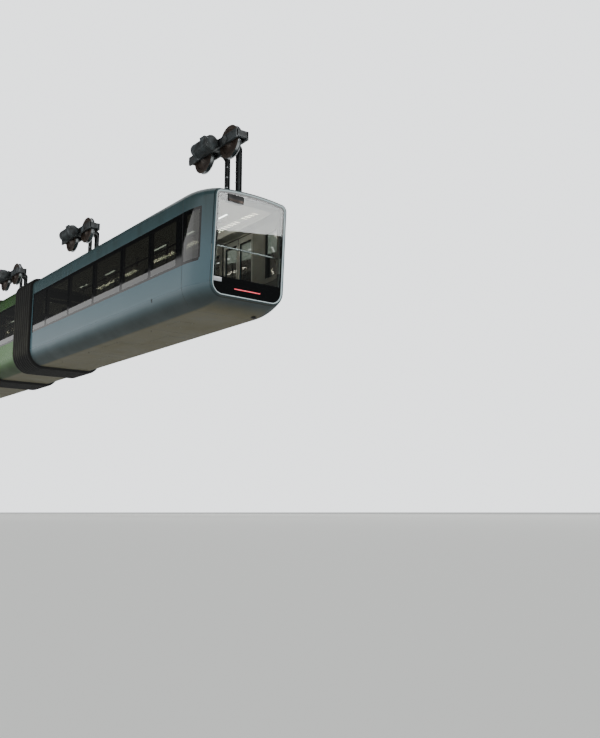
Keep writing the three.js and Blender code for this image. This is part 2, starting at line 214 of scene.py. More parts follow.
# %% [markdown]
# Most fittings are made of a few kinds of stock: blocks with eased edges, round bar, turned parts
# and plates cut to an outline. Each helper starts from a primitive and shapes it in edit mode.

# %% Stock for fittings
def block(low, high, soft=0.004, steps=2, finish=None):
    """A block between two corners, its edges eased by soft."""
    low, high = [Vector([pick(a, b) for a, b in zip(low, high)]) for pick in (min, max)]
    bpy.ops.mesh.primitive_cube_add(size=1, location=(low + high) / 2)
    obj = bpy.context.object
    obj.scale = high - low
    settle(obj)
    if soft:
        apply(obj, "BEVEL", width=soft, segments=steps, limit_method="NONE")
    return wear(finish)(obj) if finish else obj


def bar(a, b, radius, sides=20, soft=0.0015, finish=None):
    """Round bar from a to b."""
    a, b = Vector(a), Vector(b)
    bpy.ops.mesh.primitive_cylinder_add(vertices=sides, radius=radius, depth=(b - a).length,
                                        location=(a + b) / 2)
    obj = bpy.context.object
    obj.rotation_euler = (b - a).to_track_quat("Z", "Y").to_euler()
    settle(obj)
    if soft:
        apply(obj, "BEVEL", width=soft, segments=2, limit_method="ANGLE", angle_limit=math.radians(60))
    return wear(finish)(obj) if finish else obj


TURNS = {
    "X": (0, math.pi / 2, 0), "-X": (0, -math.pi / 2, 0), "Y": (-math.pi / 2, 0, 0),
    "-Y": (math.pi / 2, 0, 0), "Z": (0, 0, 0), "-Z": (math.pi, 0, 0),
}


def turned(profile, at=(0, 0, 0), axis="Z", steps=32, finish=None):
    """A closed profile of (radius, height) points spun round the axis, then put at its place."""
    bpy.ops.mesh.primitive_circle_add(vertices=len(profile), radius=1, fill_type="NOTHING")
    obj = bpy.context.object
    for vertex, (radius, height) in zip(obj.data.vertices, profile):
        vertex.co = (radius, 0, height)
    edit(obj, "VERT", "SELECT")
    bpy.ops.mesh.spin(steps=steps, angle=math.tau, center=(0, 0, 0), axis=(0, 0, 1))
    bpy.ops.mesh.select_all(action="SELECT")
    bpy.ops.mesh.remove_doubles(threshold=1e-5)
    bpy.ops.mesh.delete_loose()
    bpy.ops.mesh.select_all(action="SELECT")
    bpy.ops.mesh.normals_make_consistent(inside=False)
    done()
    placed(obj, at, TURNS[axis])
    return wear(finish)(obj) if finish else obj


def plate(outline, thickness, axis="X", at=0.0, soft=0.003, finish=None):
    """A flat outline thickened along the axis, from at to at + thickness."""
    bpy.ops.mesh.primitive_circle_add(vertices=len(outline), radius=1, fill_type="NGON")
    obj = bpy.context.object
    for vertex, (a, b) in zip(obj.data.vertices, outline):
        vertex.co = {"X": (at, a, b), "Y": (a, at, b), "Z": (a, b, at)}[axis]
    edit(obj, "FACE", "SELECT")
    push = {"X": (thickness, 0, 0), "Y": (0, thickness, 0), "Z": (0, 0, thickness)}[axis]
    bpy.ops.mesh.extrude_region_move(TRANSFORM_OT_translate={"value": push})
    bpy.ops.mesh.select_all(action="SELECT")
    bpy.ops.mesh.normals_make_consistent(inside=False)
    done()
    if soft:
        apply(obj, "BEVEL", width=soft, segments=2, limit_method="ANGLE", angle_limit=math.radians(40))
    return wear(finish)(obj) if finish else obj


def repeated(obj, count, step):
    return apply(obj, "ARRAY", count=count, use_relative_offset=False, use_constant_offset=True,
                 constant_offset_displace=step)


def ring_of(count, radius, centre, axis="Z", turn=0.0):
    """Places on a circle round the axis."""
    places = []
    for i in range(count):
        a = turn + math.tau * i / count
        u, v = radius * math.cos(a), radius * math.sin(a)
        shift = {"X": (0, u, v), "Y": (u, 0, v), "Z": (u, v, 0)}[axis]
        places.append(tuple(Vector(centre) + Vector(shift)))
    return places


def bolts(places, axis="Z", size=0.012, finish=None):
    """Hexagon heads on washers, one modelled and the rest copied."""
    head = turned([(0, -size * 0.2), (size * 1.25, -size * 0.2), (size * 1.25, size * 0.15),
                   (size, size * 0.2), (size * 0.95, size * 0.75), (size * 0.8, size * 0.85),
                   (0, size * 0.85)], axis=axis, steps=6)
    heads = [copied(head, place) for place in places]
    bpy.data.objects.remove(head)
    group = joined("bolt_heads", heads)
    return wear(finish)(group) if finish else group


# %% [markdown]
# Every finish starts from what the real surface is. Colours are picked as sRGB hex values and
# turned to linear light once, and one small helper adds a shader node with its settings and links.

# %% Colour and node helpers
def colour(hex_value):
    channels = [int(hex_value[i:i + 2], 16) / 255 for i in (1, 3, 5)]
    linear = [c / 12.92 if c <= 0.04045 else ((c + 0.055) / 1.055) ** 2.4 for c in channels]
    return (*linear, 1.0)


def feed(socket, value):
    """Set a socket to a value, or link it to a socket or to a node's first output."""
    if isinstance(value, bpy.types.Node):
        value = next(output for output in value.outputs if output.enabled)
    if isinstance(value, bpy.types.NodeSocket):
        socket.id_data.links.new(value, socket)
    else:
        socket.default_value = value


def add_node(tree, kind, links=None, **settings):
    node = tree.nodes.new(kind)
    for name, value in settings.items():
        setattr(node, name, value)
    for socket, value in (links or {}).items():
        feed(node.inputs[socket], value)
    return node


def new_finish(name):
    material = bpy.data.materials.new(name)
    material.use_nodes = True
    tree = material.node_tree
    tree.nodes.clear()
    shader = add_node(tree, "ShaderNodeBsdfPrincipled")
    add_node(tree, "ShaderNodeOutputMaterial", {"Surface": shader})
    place = add_node(tree, "ShaderNodeTexCoord").outputs["Object"]
    return material, tree, shader, place


def set_shader(shader, **values):
    """Feed the shader's own sockets, an underscore in a name standing for a space."""
    for name, value in values.items():
        feed(shader.inputs[name.replace("_", " ")], value)


def wear(*materials):
    """The materials of a piece, in slot order."""
    def dress(obj):
        obj.data.materials.clear()
        for material in materials:
            obj.data.materials.append(material)
        return obj
    return dress


def fitted(obj, body, slot, *instead_of):
    """Put a finished piece on its body, in place of the nodes it details; the slot is not used."""
    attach(obj, body)
    if instead_of:
        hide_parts(*instead_of)
    return obj


# %% [markdown]
# The body is steel and glass fibre under two-pack enamel with a clear coat. Seen close, such a
# coat has a faint orange peel about 6 mm across. Dark dust from rail and wheels comes down on the
# roof and the top of the sides, and painted shade from above darkens them further. The curve below
# the sides darkens too: a brown film of road dust, and a painted shade band along that corner.
# Faces that look straight down take an olive tone: a painted reflection of the surroundings, and
# road dust. The clear coat is glossy above and dull below.

# %% Gloss enamel
def gloss_enamel(name, hex_value, roof_dust_and_shade, low_dust_and_shade, amount=1.0):
    material, tree, shader, place = new_finish(name)
    metres = add_node(tree, "ShaderNodeSeparateXYZ", {"Vector": place})
    runs_scale = add_node(tree, "ShaderNodeMapping", {"Vector": place, "Scale": (5.0, 5.0, 0.35)})
    runs = add_node(tree, "ShaderNodeTexNoise", {"Vector": runs_scale, "Scale": 1.0, "Detail": 5.0})
    clouds = add_node(tree, "ShaderNodeTexNoise", {"Vector": place, "Scale": 1.1, "Detail": 4.0})
    uneven = add_node(tree, "ShaderNodeMath", {0: runs, 1: clouds}, operation="ADD")
    patchy = add_node(tree, "ShaderNodeMapRange", {
        "Value": uneven, "From Min": 0.7, "From Max": 1.3, "To Min": 0.8, "To Max": 1.15})
    even = add_node(tree, "ShaderNodeMapRange", {
        "Value": uneven, "From Min": 0.7, "From Max": 1.3, "To Min": 0.97, "To Max": 1.03})
    dust_and_shade_films = []
    # Two masks by height: the first for dust and painted shade on the roof and upper sides, the second
    # for road dust and a painted shade band on the lower corner.
    for start, full, most, spread in ((-2.75, -1.15, 0.72 * amount, patchy),
                                      (-3.1, BASE_Z + 0.1, 0.86 * amount, even)):
        depth = add_node(tree, "ShaderNodeMapRange", {
            "Value": metres.outputs["Z"], "From Min": start, "From Max": full, "To Min": 0.0,
            "To Max": most}, interpolation_type="SMOOTHSTEP")
        dust_and_shade_films.append(add_node(tree, "ShaderNodeMath", {0: depth, 1: spread},
                              operation="MULTIPLY", use_clamp=True))
    # The upper film darkens towards the roof: dust, and painted shade from above.
    with_top_dust_and_shade = add_node(tree, "ShaderNodeMix", {
        "Factor": dust_and_shade_films[0], "A": colour(hex_value), "B": colour(roof_dust_and_shade)}, data_type="RGBA")
    # The lower film darkens the curve under the side: road dust, and a painted shade band along that
    # corner.
    coat = add_node(tree, "ShaderNodeMix", {
        "Factor": dust_and_shade_films[1], "A": with_top_dust_and_shade, "B": colour(low_dust_and_shade)}, data_type="RGBA")
    facing = add_node(tree, "ShaderNodeSeparateXYZ", {
        "Vector": add_node(tree, "ShaderNodeTexCoord").outputs["Normal"]})
    # Faces that look straight down take an olive tone: a painted reflection of the surroundings, and road
    # dust.
    down_facing_reflection = add_node(tree, "ShaderNodeMapRange", {
        "Value": facing.outputs["Z"], "From Min": -0.955, "From Max": -0.996, "To Min": 0.0,
        "To Max": amount})
    dust_and_painted_light = add_node(tree, "ShaderNodeMath", {0: down_facing_reflection, 1: patchy}, operation="MULTIPLY",
                    use_clamp=True)
    with_painted_reflection_and_dust = add_node(tree, "ShaderNodeMix", {
        "Factor": dust_and_painted_light, "A": coat, "B": colour("#4a4630")}, data_type="RGBA")
    dull = add_node(tree, "ShaderNodeMapRange", {
        "Value": dust_and_shade_films[1], "From Min": 0.0, "From Max": 0.8, "To Min": 0.2, "To Max": 0.62})
    rough = add_node(tree, "ShaderNodeMapRange", {
        "Value": clouds, "From Min": 0.3, "From Max": 0.7, "To Min": 1.0, "To Max": 1.2})
    rough = add_node(tree, "ShaderNodeMath", {0: rough, 1: dull}, operation="MULTIPLY")
    peel = add_node(tree, "ShaderNodeTexNoise", {"Vector": place, "Scale": 160.0, "Detail": 1.0})
    bump = add_node(tree, "ShaderNodeBump", {"Height": peel, "Strength": 0.02, "Distance": 0.001})
    gloss = add_node(tree, "ShaderNodeMapRange", {
        "Value": dust_and_shade_films[1], "From Min": 0.0, "From Max": 0.9, "To Min": 0.12, "To Max": 0.02})
    set_shader(shader, Base_Color=with_painted_reflection_and_dust, Roughness=rough, Normal=bump, Coat_Weight=gloss, IOR=1.42,
               Coat_Roughness=0.06)
    return material


BLUE_ENAMEL = gloss_enamel("two_pack_enamel_blue_grey", "#466069", "#2a3733", "#1d211d")
GREEN_ENAMEL = gloss_enamel("two_pack_enamel_green", "#35661f", "#283526", "#1b2013")
RIM_ENAMEL = gloss_enamel("two_pack_enamel_pale_blue", "#d2e2e5", "#7f8f8e", "#cad8d8", 0.4)

# %% [markdown]
# The side windows are toughened glass, tinted nearly black and bonded flush. Around each pane a
# black ceramic print hides the glue. The end window is clear laminated glass over a printed apron.
# Rain leaves a thin uneven film on all of them, which shows as a slight change in gloss.

# %% Glass and ceramic print
def sheet_glass(name, hex_value, coat):
    material, tree, shader, place = new_finish(name)
    rain = add_node(tree, "ShaderNodeTexNoise", {"Vector": place, "Scale": 3.0, "Detail": 6.0})
    film = add_node(tree, "ShaderNodeMapRange", {
        "Value": rain, "From Min": 0.4, "From Max": 0.75, "To Min": 0.0, "To Max": 0.03})
    set_shader(shader, Roughness=film, Base_Color=colour(hex_value), Transmission_Weight=1.0, IOR=1.5,
               Coat_Weight=coat, Coat_Roughness=0.0)
    return material


TINTED_GLASS = sheet_glass("toughened_glass_dark_tint", "#41453f", 0.6)
CLEAR_GLASS = sheet_glass("laminated_glass_clear", "#dfe6e4", 0.0)

PRINT, tree, shader, place = new_finish("ceramic_print_black")
grain = add_node(tree, "ShaderNodeTexNoise", {"Vector": place, "Scale": 40.0, "Detail": 3.0})
tone = add_node(tree, "ShaderNodeMix", {
    "Factor": grain, "A": colour("#060708"), "B": colour("#0c0e0f")}, data_type="RGBA")
set_shader(shader, Base_Color=tone, Roughness=0.05, IOR=1.5)

# %% [markdown]
# Rubber is matt and nearly black. Extruded seals carry a little grey bloom, so their tone wanders
# over a few centimetres, and a fine grain keeps their highlights broken.

# %% Rubber and moulded plastics
def grained(name, hex_a, hex_b, roughness, grain_mm, depth, **settings):
    """A moulded or cast surface: two close tones in soft patches and a grain of the given size."""
    material, tree, shader, place = new_finish(name)
    patches = add_node(tree, "ShaderNodeTexNoise", {"Vector": place, "Scale": 7.0, "Detail": 5.0})
    tone = add_node(tree, "ShaderNodeMix", {
        "Factor": patches, "A": colour(hex_a), "B": colour(hex_b)}, data_type="RGBA")
    worn = add_node(tree, "ShaderNodeMapRange", {
        "Value": patches, "From Min": 0.3, "From Max": 0.7,
        "To Min": roughness * 0.85, "To Max": min(1.0, roughness * 1.15)})
    grain = add_node(tree, "ShaderNodeTexVoronoi", {"Vector": place, "Scale": 1000 / grain_mm})
    bump = add_node(tree, "ShaderNodeBump", {"Height": grain, "Strength": depth, "Distance": 0.001})
    set_shader(shader, Base_Color=tone, Roughness=worn, Normal=bump, **settings)
    return material


SEAL = grained("extruded_rubber_seal", "#0d0e0f", "#1b1d1e", 0.62, 6, 0.15)
HOSE = grained("braided_rubber_hose", "#101112", "#1d1e1f", 0.7, 4, 0.4)
CAB = grained("moulded_abs_dark_grey", "#25292b", "#32373a", 0.55, 3, 0.25, IOR=1.52)
SHELL = grained("moulded_seat_shell_grey", "#4c5053", "#5b6063", 0.45, 4, 0.12, IOR=1.5)
CASING = grained("painted_sheet_casing_black", "#0e1011", "#17191a", 0.4, 5, 0.08)
POLYESTER = grained("glass_fibre_polyester_grey", "#565d5e", "#6a7171", 0.5, 12, 0.1, Coat_Weight=0.15)
LAMINATE = grained("white_laminate", "#c9ccc8", "#d8dad6", 0.35, 9, 0.04, IOR=1.5)

# %% [markdown]
# The bogies are cast and welded steel under dark machinery paint. Grease and steel dust from the
# wheels settle on it as a brown-black film that is dull where it is thick, and rust shows through
# in small spots.

# %% Painted and bare metals
def machinery(name, paint, film, rust_share, metallic=0.0):
    material, tree, shader, place = new_finish(name)
    grease = add_node(tree, "ShaderNodeTexNoise", {
        "Vector": place, "Scale": 5.0, "Detail": 7.0, "Roughness": 0.65})
    spots = add_node(tree, "ShaderNodeTexNoise", {
        "Vector": place, "Scale": 42.0, "Detail": 6.0, "Roughness": 0.7})
    cover = add_node(tree, "ShaderNodeMapRange", {
        "Value": grease, "From Min": 0.38, "From Max": 0.66, "To Min": 0.1, "To Max": 0.85})
    rusty = add_node(tree, "ShaderNodeMapRange", {
        "Value": spots, "From Min": 0.66 - rust_share * 0.2, "From Max": 0.74, "To Min": 0.0,
        "To Max": 0.8})
    greased = add_node(tree, "ShaderNodeMix", {
        "Factor": cover, "A": colour(paint), "B": colour(film)}, data_type="RGBA")
    tone = add_node(tree, "ShaderNodeMix", {
        "Factor": rusty, "A": greased, "B": colour("#5a3220")}, data_type="RGBA")
    dull = add_node(tree, "ShaderNodeMapRange", {
        "Value": grease, "From Min": 0.35, "From Max": 0.65, "To Min": 0.36, "To Max": 0.66})
    skin = add_node(tree, "ShaderNodeTexNoise", {"Vector": place, "Scale": 260.0, "Detail": 3.0})
    bump = add_node(tree, "ShaderNodeBump", {"Height": skin, "Strength": 0.25, "Distance": 0.001})
    set_shader(shader, Base_Color=tone, Roughness=dull, Normal=bump, Metallic=metallic)
    return material


STEEL = machinery("welded_steel_machinery_paint", "#3d4447", "#1f1c18", 0.25)
MOTOR = machinery("cast_motor_housing_paint", "#4b5356", "#24211d", 0.15)
OXIDE = machinery("rolled_steel_wheel_web", "#4a3f37", "#1d1a17", 0.6, 0.4)


def bare_metal(name, hex_a, hex_b, roughness, grain_mm, stretch):
    """Ground, brushed or rolled metal: fine lines along one direction, grain_mm apart."""
    material, tree, shader, place = new_finish(name)
    lines = add_node(tree, "ShaderNodeMapping", {"Vector": place, "Scale": stretch})
    grain = add_node(tree, "ShaderNodeTexNoise", {
        "Vector": lines, "Scale": 1000 / grain_mm, "Detail": 3.0})
    tone = add_node(tree, "ShaderNodeMix", {
        "Factor": grain, "A": colour(hex_a), "B": colour(hex_b)}, data_type="RGBA")
    rough = add_node(tree, "ShaderNodeMapRange", {
        "Value": grain, "From Min": 0.3, "From Max": 0.7, "To Min": roughness * 0.8,
        "To Max": roughness * 1.25})
    bump = add_node(tree, "ShaderNodeBump", {"Height": grain, "Strength": 0.06, "Distance": 0.001})
    set_shader(shader, Base_Color=tone, Roughness=rough, Normal=bump, Metallic=1.0)
    return material


TREAD = bare_metal("polished_rolling_steel", "#7f8284", "#a3a6a8", 0.22, 2.0, (1.0, 0.05, 1.0))
TUBE = bare_metal("brushed_stainless_steel", "#a9adae", "#c6c9ca", 0.24, 1.5, (1.0, 1.0, 0.05))
ALUMINIUM = bare_metal("anodised_aluminium", "#8d9294", "#a6abad", 0.34, 2.5, (0.05, 1.0, 1.0))
ZINC = bare_metal("zinc_plated_bolt", "#7c7f80", "#94989a", 0.4, 4.0, (1.0, 1.0, 1.0))

# %% [markdown]
# Lamps are clear or red plastic lenses with light-emitting diodes behind them. The rear strip was
# lit in the photograph and so glows here. The lens has soft ribs 38 mm apart that break up the
# light. A wave texture draws its bands pi / (10 * scale) metres apart.

# %% Lamp lenses and diodes
BAND_SCALE = 25 / 3


def lamp_lens(name, hex_value, glow_hex, strength, ribs=True):
    material, tree, shader, place = new_finish(name)
    rib_waves = add_node(tree, "ShaderNodeTexWave", {
        "Vector": place, "Scale": BAND_SCALE, "Distortion": 0.0}, bands_direction="Y")
    tone = add_node(tree, "ShaderNodeMix", {
        "Factor": rib_waves.outputs["Fac"], "A": colour(hex_value), "B": colour(glow_hex)},
                    data_type="RGBA")
    if ribs:
        bump = add_node(tree, "ShaderNodeBump", {
            "Height": rib_waves.outputs["Fac"], "Strength": 0.3, "Distance": 0.001})
        set_shader(shader, Normal=bump)
    set_shader(shader, Base_Color=tone, Emission_Color=tone, Emission_Strength=strength, Roughness=0.15,
               IOR=1.49)
    return material


RED_LENS = lamp_lens("red_lamp_lens", "#c42a38", "#ff6a74", 1.1)
CLEAR_LENS = lamp_lens("clear_lamp_lens", "#dfe4e6", "#ffffff", 0.25)
DIODE = lamp_lens("warm_white_diode", "#fff0d8", "#fff6e6", 40.0, ribs=False)
LIGHT_STRIP = lamp_lens("opal_light_strip", "#e9ebe4", "#fbfbf4", 7.0, ribs=False)
SCREEN = lamp_lens("display_glass_dark", "#0b0d0c", "#10130f", 0.0, ribs=False)
BLANK_PLATE = grained("blank_enamel_plate", "#a9aeb4", "#b9bdc2", 0.3, 10, 0.03, Coat_Weight=0.4)

# %% [markdown]
# The end sections and the middle section are hollow shells, so one object shows painted steel
# undercoat outside, under the skins, and the lining of the cabin inside. One material tells them
# apart by place: rubber floor with 4 mm speckles, white laminate ceiling, light grey walls with
# a darker sill panel, and dark sealant for all that lies outside the cabin.

# %% Cabin lining
def cabin_lining(name):
    material, tree, shader, place = new_finish(name)
    metres = add_node(tree, "ShaderNodeSeparateXYZ", {"Vector": place})
    across, lengthways = [
        add_node(tree, "ShaderNodeMath", {0: metres.outputs[axis]}, operation="ABSOLUTE")
        for axis in ("Y", "X")]
    z = metres.outputs["Z"]
    clouds = add_node(tree, "ShaderNodeTexNoise", {"Vector": place, "Scale": 2.5, "Detail": 4.0})
    speckle = add_node(tree, "ShaderNodeTexVoronoi", {"Vector": place, "Scale": 250.0})
    masks = {}
    for what, socket, test, limit in (
            ("speckles", speckle, "LESS_THAN", 0.16),
            ("sill", z, "LESS_THAN", -2.75),
            ("ceiling", z, "GREATER_THAN", CEILING_Z - 0.03),
            ("floor", z, "LESS_THAN", FLOOR_Z + 0.02),
            ("in_width", across, "LESS_THAN", 1.034),
            ("in_length", lengthways, "LESS_THAN", HALF_LENGTH - END_WALL - 0.005),
            ("over_floor", z, "GREATER_THAN", FLOOR_Z - 0.01),
            ("under_ceiling", z, "LESS_THAN", CEILING_Z + 0.012)):
        masks[what] = add_node(tree, "ShaderNodeMath", {0: socket, 1: limit}, operation=test)
    inside = masks["in_width"]
    for what in ("in_length", "over_floor", "under_ceiling"):
        inside = add_node(tree, "ShaderNodeMath", {0: inside, 1: masks[what]}, operation="MULTIPLY")
    # The laminate ceiling glows faintly, though it is no lamp: painted light from the lamps above.
    painted_ceiling_light = add_node(tree, "ShaderNodeMath", {0: inside, 1: masks["ceiling"]}, operation="MULTIPLY")
    tones = {"wall": colour("#8f918b"), "rubber": colour("#2b2d2f"), "all": colour("#121415"),
             "glow": colour("#000000")}
    for what, mask, paint in (
            ("wall", clouds, colour("#a3a49d")),
            ("wall", masks["sill"], colour("#5d605e")),
            ("wall", masks["ceiling"], colour("#c6c8c2")),
            ("rubber", masks["speckles"], colour("#6d7072")),
            ("wall", masks["floor"], "rubber"),
            ("all", inside, "wall"),
            ("glow", painted_ceiling_light, colour("#fff3df"))):
        tones[what] = add_node(tree, "ShaderNodeMix", {
            "Factor": mask, "A": tones[what], "B": tones.get(paint, paint)},
            data_type="RGBA")
    set_shader(shader, Base_Color=tones["all"], Emission_Color=tones["glow"], Roughness=0.5, IOR=1.48,
               Emission_Strength=0.22)
    return material


LINING = cabin_lining("cabin_lining")

# %% [markdown]
# Seat covers are moquette, a wool pile cloth woven with small blocks of colour about 18 mm wide.
# The pile scatters light at grazing angles, which the shader's sheen gives.

# %% Moquette
MOQUETTE, tree, shader, place = new_finish("wool_moquette_brown")
pile = add_node(tree, "ShaderNodeTexNoise", {"Vector": place, "Scale": 420.0, "Detail": 2.0})
squares = add_node(tree, "ShaderNodeTexChecker", {
    "Vector": place, "Scale": 1000 / 18, "Color1": colour("#4e3a34"), "Color2": colour("#63483c")})
worn_cloth = add_node(tree, "ShaderNodeMix", {
    "Factor": pile, "A": squares, "B": colour("#7b5a49")}, data_type="RGBA")
bump = add_node(tree, "ShaderNodeBump", {"Height": pile, "Strength": 0.5, "Distance": 0.002})
set_shader(shader, Base_Color=worn_cloth, Normal=bump, Roughness=0.9, Sheen_Weight=0.4,
           Sheen_Roughness=0.4, Specular_IOR_Level=0.2)

# %% [markdown]
# The outline of the body is one closed curve: flat underneath, a wide round lower corner, an
# upright side, a tighter roof corner and a slightly crowned roof. Towards each end it pulls in
# along a parabola, so the sides, the chin and the brow all run smoothly into the end rim. The
# side has extra points at the heights where windows and doors begin and end.

# %% Body outline
CORNER_ROUND = {"low": 0.06, "high": 0.03}
DOOR_SASH = 0.041
SIDE_HEIGHTS = sorted({
    DOOR_GLASS_LOW, DOOR_GLASS_LOW + DOOR_SASH, BAND_LOW, BAND_LOW + SASH, -2.1, BAND_HIGH - SASH,
    round(BAND_HIGH - CORNER_ROUND["high"], 4), round(DOOR_GLASS_HIGH - DOOR_SASH, 4), BAND_HIGH,
    DOOR_GLASS_HIGH, DOOR_HIGH,
})
LOWER_ACROSS, LOWER_UP, ROOF_RADIUS = 0.42, 0.52, 0.2
FLAT_FLOOR = 0.3
DOOR_ANGLE = math.degrees(math.acos((BASE_Z + LOWER_UP - DOOR_LOW) / LOWER_UP))
LOWER_ANGLES = sorted([i * 6.0 for i in range(16)] + [DOOR_ANGLE])


def pull(s):
    """How far the end has pulled in at distance s: 1 at the face, 0 from the seam on."""
    return max(0.0, 1 - s / SEAM) ** 2


def outline(s, lift=0.0):
    """Points (y, z) of the body's section at distance s, pushed out by lift."""
    f = pull(s)
    half_width = HALF_WIDTH - END_NARROWER * f + lift
    low = BASE_Z + END_RAISED * f - lift
    high = ROOF_Z - END_LOWERED * f + lift
    across = LOWER_ACROSS + (FACE_ACROSS - LOWER_ACROSS) * f + lift
    up = LOWER_UP + (FACE_UP - LOWER_UP) * f + lift
    radius = ROOF_RADIUS + (FACE_RADIUS - ROOF_RADIUS) * f + lift
    side = [(0.0, low), (FLAT_FLOOR, low)]
    for degrees in LOWER_ANGLES:
        a = math.radians(degrees)
        side.append((half_width - across + across * math.sin(a), low + up - up * math.cos(a)))
    side += [(half_width, z) for z in SIDE_HEIGHTS]
    for i in range(11):
        a = math.radians(9 * i)
        side.append((half_width - radius + radius * math.cos(a), high - radius + radius * math.sin(a)))
    flat = half_width - radius
    side += [(flat * t, high + CAMBER * (1 - t * t)) for t in (0.8, 0.6, 0.4, 0.2, 0.0)]
    return side + [(-y, z) for y, z in reversed(side[1:-1])]


def along(toward, s, z):
    """X of a point at distance s from the end; the face leans, so it depends on height."""
    lean = LEAN * (z - (ROOF_Z - END_LOWERED)) * (1 - s / SEAM) if s < SEAM else 0.0
    return toward * (HALF_LENGTH - s + lean)


print("outline points", len(outline(2.0)))

# %% [markdown]
# A body panel is a flat grid of quads, one column for each station along the car and one row for
# each outline point, wrapped round the body and welded where its edges meet. Faces that fall in
# an opening are deleted, and Solidify gives the panel its thickness. Placing points by the same
# rule as the frame keeps each skin a few millimetres outside the solids.

# %% Wrapped panels
def wrapped(name, columns):
    """Grid through columns, each a list of points, with its last row welded to its first."""
    rows = len(columns[0]) + 1
    bpy.ops.object.select_all(action="DESELECT")
    bpy.ops.mesh.primitive_grid_add(x_subdivisions=len(columns) - 1, y_subdivisions=rows - 1, size=2)
    obj = bpy.context.object
    obj.name = obj.data.name = name
    for vertex in obj.data.vertices:
        column = round((vertex.co.x + 1) / 2 * (len(columns) - 1))
        row = round((vertex.co.y + 1) / 2 * (rows - 1))
        vertex.co = columns[column][row % len(columns[0])]
    edit(obj, "VERT", "SELECT")
    bpy.ops.mesh.remove_doubles(threshold=1e-5)
    done()
    return obj


def face_outward(obj):
    """Turn the whole panel round if its faces look towards the body's long axis."""
    axis = Vector((0, 0, (ROOF_Z + BASE_Z) / 2))
    total = 0
    for face in obj.data.polygons:
        away = face.center - axis
        total += face.area * (face.normal.y * away.y + face.normal.z * away.z)
    if total < 0:
        edit(obj, "FACE", "SELECT")
        bpy.ops.mesh.flip_normals()
        done()
    return obj


def closed_ring(name, rings, degrees):
    """A solid ring through rings of points, the last joined to the first."""
    obj = wrapped(name, rings)
    edit(obj, "EDGE")
    bpy.ops.mesh.select_non_manifold()
    bpy.ops.mesh.bridge_edge_loops()
    done()
    return smooth(outward(obj), degrees)


def printed(obj, is_clear):
    """Tinted glass where is_clear accepts a face, and black print on the rest."""
    wear(TINTED_GLASS, PRINT)(obj)
    for face in obj.data.polygons:
        face.material_index = 0 if is_clear(face.center) else 1
    return obj


def drop_faces(obj, test):
    pick_faces(obj, test)
    bpy.ops.mesh.delete(type="FACE")
    done()
    return obj


def body_columns(toward, stations, lift):
    columns = []
    for s in stations:
        columns.append([(along(toward, s, z), y, z) for y, z in outline(s, lift)])
    return columns


def station_of(toward, point):
    """Distance from the end of a point on the body."""
    s = HALF_LENGTH - abs(point.x)
    if s < SEAM:
        lean = LEAN * (point.z - (ROOF_Z - END_LOWERED))
        s = (HALF_LENGTH + lean - toward * point.x) / (1 + lean / SEAM)
    return s


def body_sheet(name, toward, stations, keep, lift=SKIN):
    """One layer of the body's surface with the faces that keep accepts."""
    obj = face_outward(wrapped(name, body_columns(toward, stations, lift)))
    return drop_faces(obj, lambda c, n: not keep(station_of(toward, c), c))


def thickened(obj, thickness, bevel=0.0015):
    apply(obj, "SOLIDIFY", thickness=thickness, offset=-1.0, use_even_offset=True)
    if bevel:
        apply(obj, "BEVEL", width=bevel, segments=2, limit_method="ANGLE", angle_limit=math.radians(50))
    return smooth(obj)


# %% [markdown]
# The windows: one long band of glass on the left and three stretches between the doors on the
# right. Each opening behind the glass has a start and an end, and what lies between them is print.

# %% Window and door tables
def doors():
    return [(s, s + DOOR_WIDTH) for s in DOOR_STARTS]


def right_bands():
    (a, b), (c, d) = doors()
    return [(BAND_START, a - 0.06), (b + 0.06, c - 0.06), (d + 0.06, BAND_END)]


def window_spans():
    """Openings behind the glass: (start, end, side), side +1 left and -1 right."""
    spans = [(BAND_START + SASH, SEAM - 0.06, 1), (BAND_START + SASH, SEAM - 0.06, -1)]
    edges = LEFT_PILLARS + [BAND_END + PILLAR / 2 - SASH]
    spans += [(a + PILLAR / 2, b - PILLAR / 2, 1) for a, b in zip(edges, edges[1:])]
    start = right_bands()[1][0] + SASH
    width = (right_bands()[1][1] - SASH - start - PILLAR) / 2
    spans += [(start, start + width, -1), (start + width + PILLAR, start + 2 * width + PILLAR, -1)]
    spans.append((right_bands()[2][0] + SASH, BAND_END - SASH, -1))
    return spans


def stations_between(start, end, *extra, step=0.45):
    """Stations from start to end through all the extra ones, none further apart than step."""
    fixed = sorted({start, end, *[s for s in extra if start < s < end]})
    stations = [start]
    for a, b in zip(fixed, fixed[1:]):
        pieces = max(1, math.ceil((b - a) / step))
        stations += [a + (b - a) * i / pieces for i in range(1, pieces + 1)]
    return stations


WINDOW_EDGES = sorted({round(s, 4) for span in window_spans() for s in span[:2]})
DOOR_EDGES = [s for door in doors() for s in door]
BAND_EDGES = [s for stretch in right_bands() for s in stretch]


def in_band(s, point):
    if not BAND_LOW < point.z < BAND_HIGH:
        return False
    if point.y > 0:
        return BAND_START < s < BAND_END
    return any(a < s < b for a, b in right_bands())


def in_door(s, point):
    return point.y < 0 and DOOR_LOW < point.z < DOOR_HIGH and any(a < s < b for a, b in doors())


def in_corner(s, point):
    """The two cells where the band's first corners are rounded off."""
    low = s < BAND_START + CORNER_ROUND["low"] and point.z < BAND_LOW + CORNER_ROUND["low"]
    high = s < BAND_START + CORNER_ROUND["high"] and point.z > BAND_HIGH - CORNER_ROUND["high"]
    return BAND_START < s and (low or high)


# %% [markdown]
# The painted skins. The long panel ends at the seam, where a 14 mm gap with a black seal shows
# between it and the rounded end, as on the real car, whose end is a separate moulding bolted to
# the body. The corners of the window band are rounded with a bevel on a single vertex, whose low
# profile value makes the cut hollow instead of bulging.

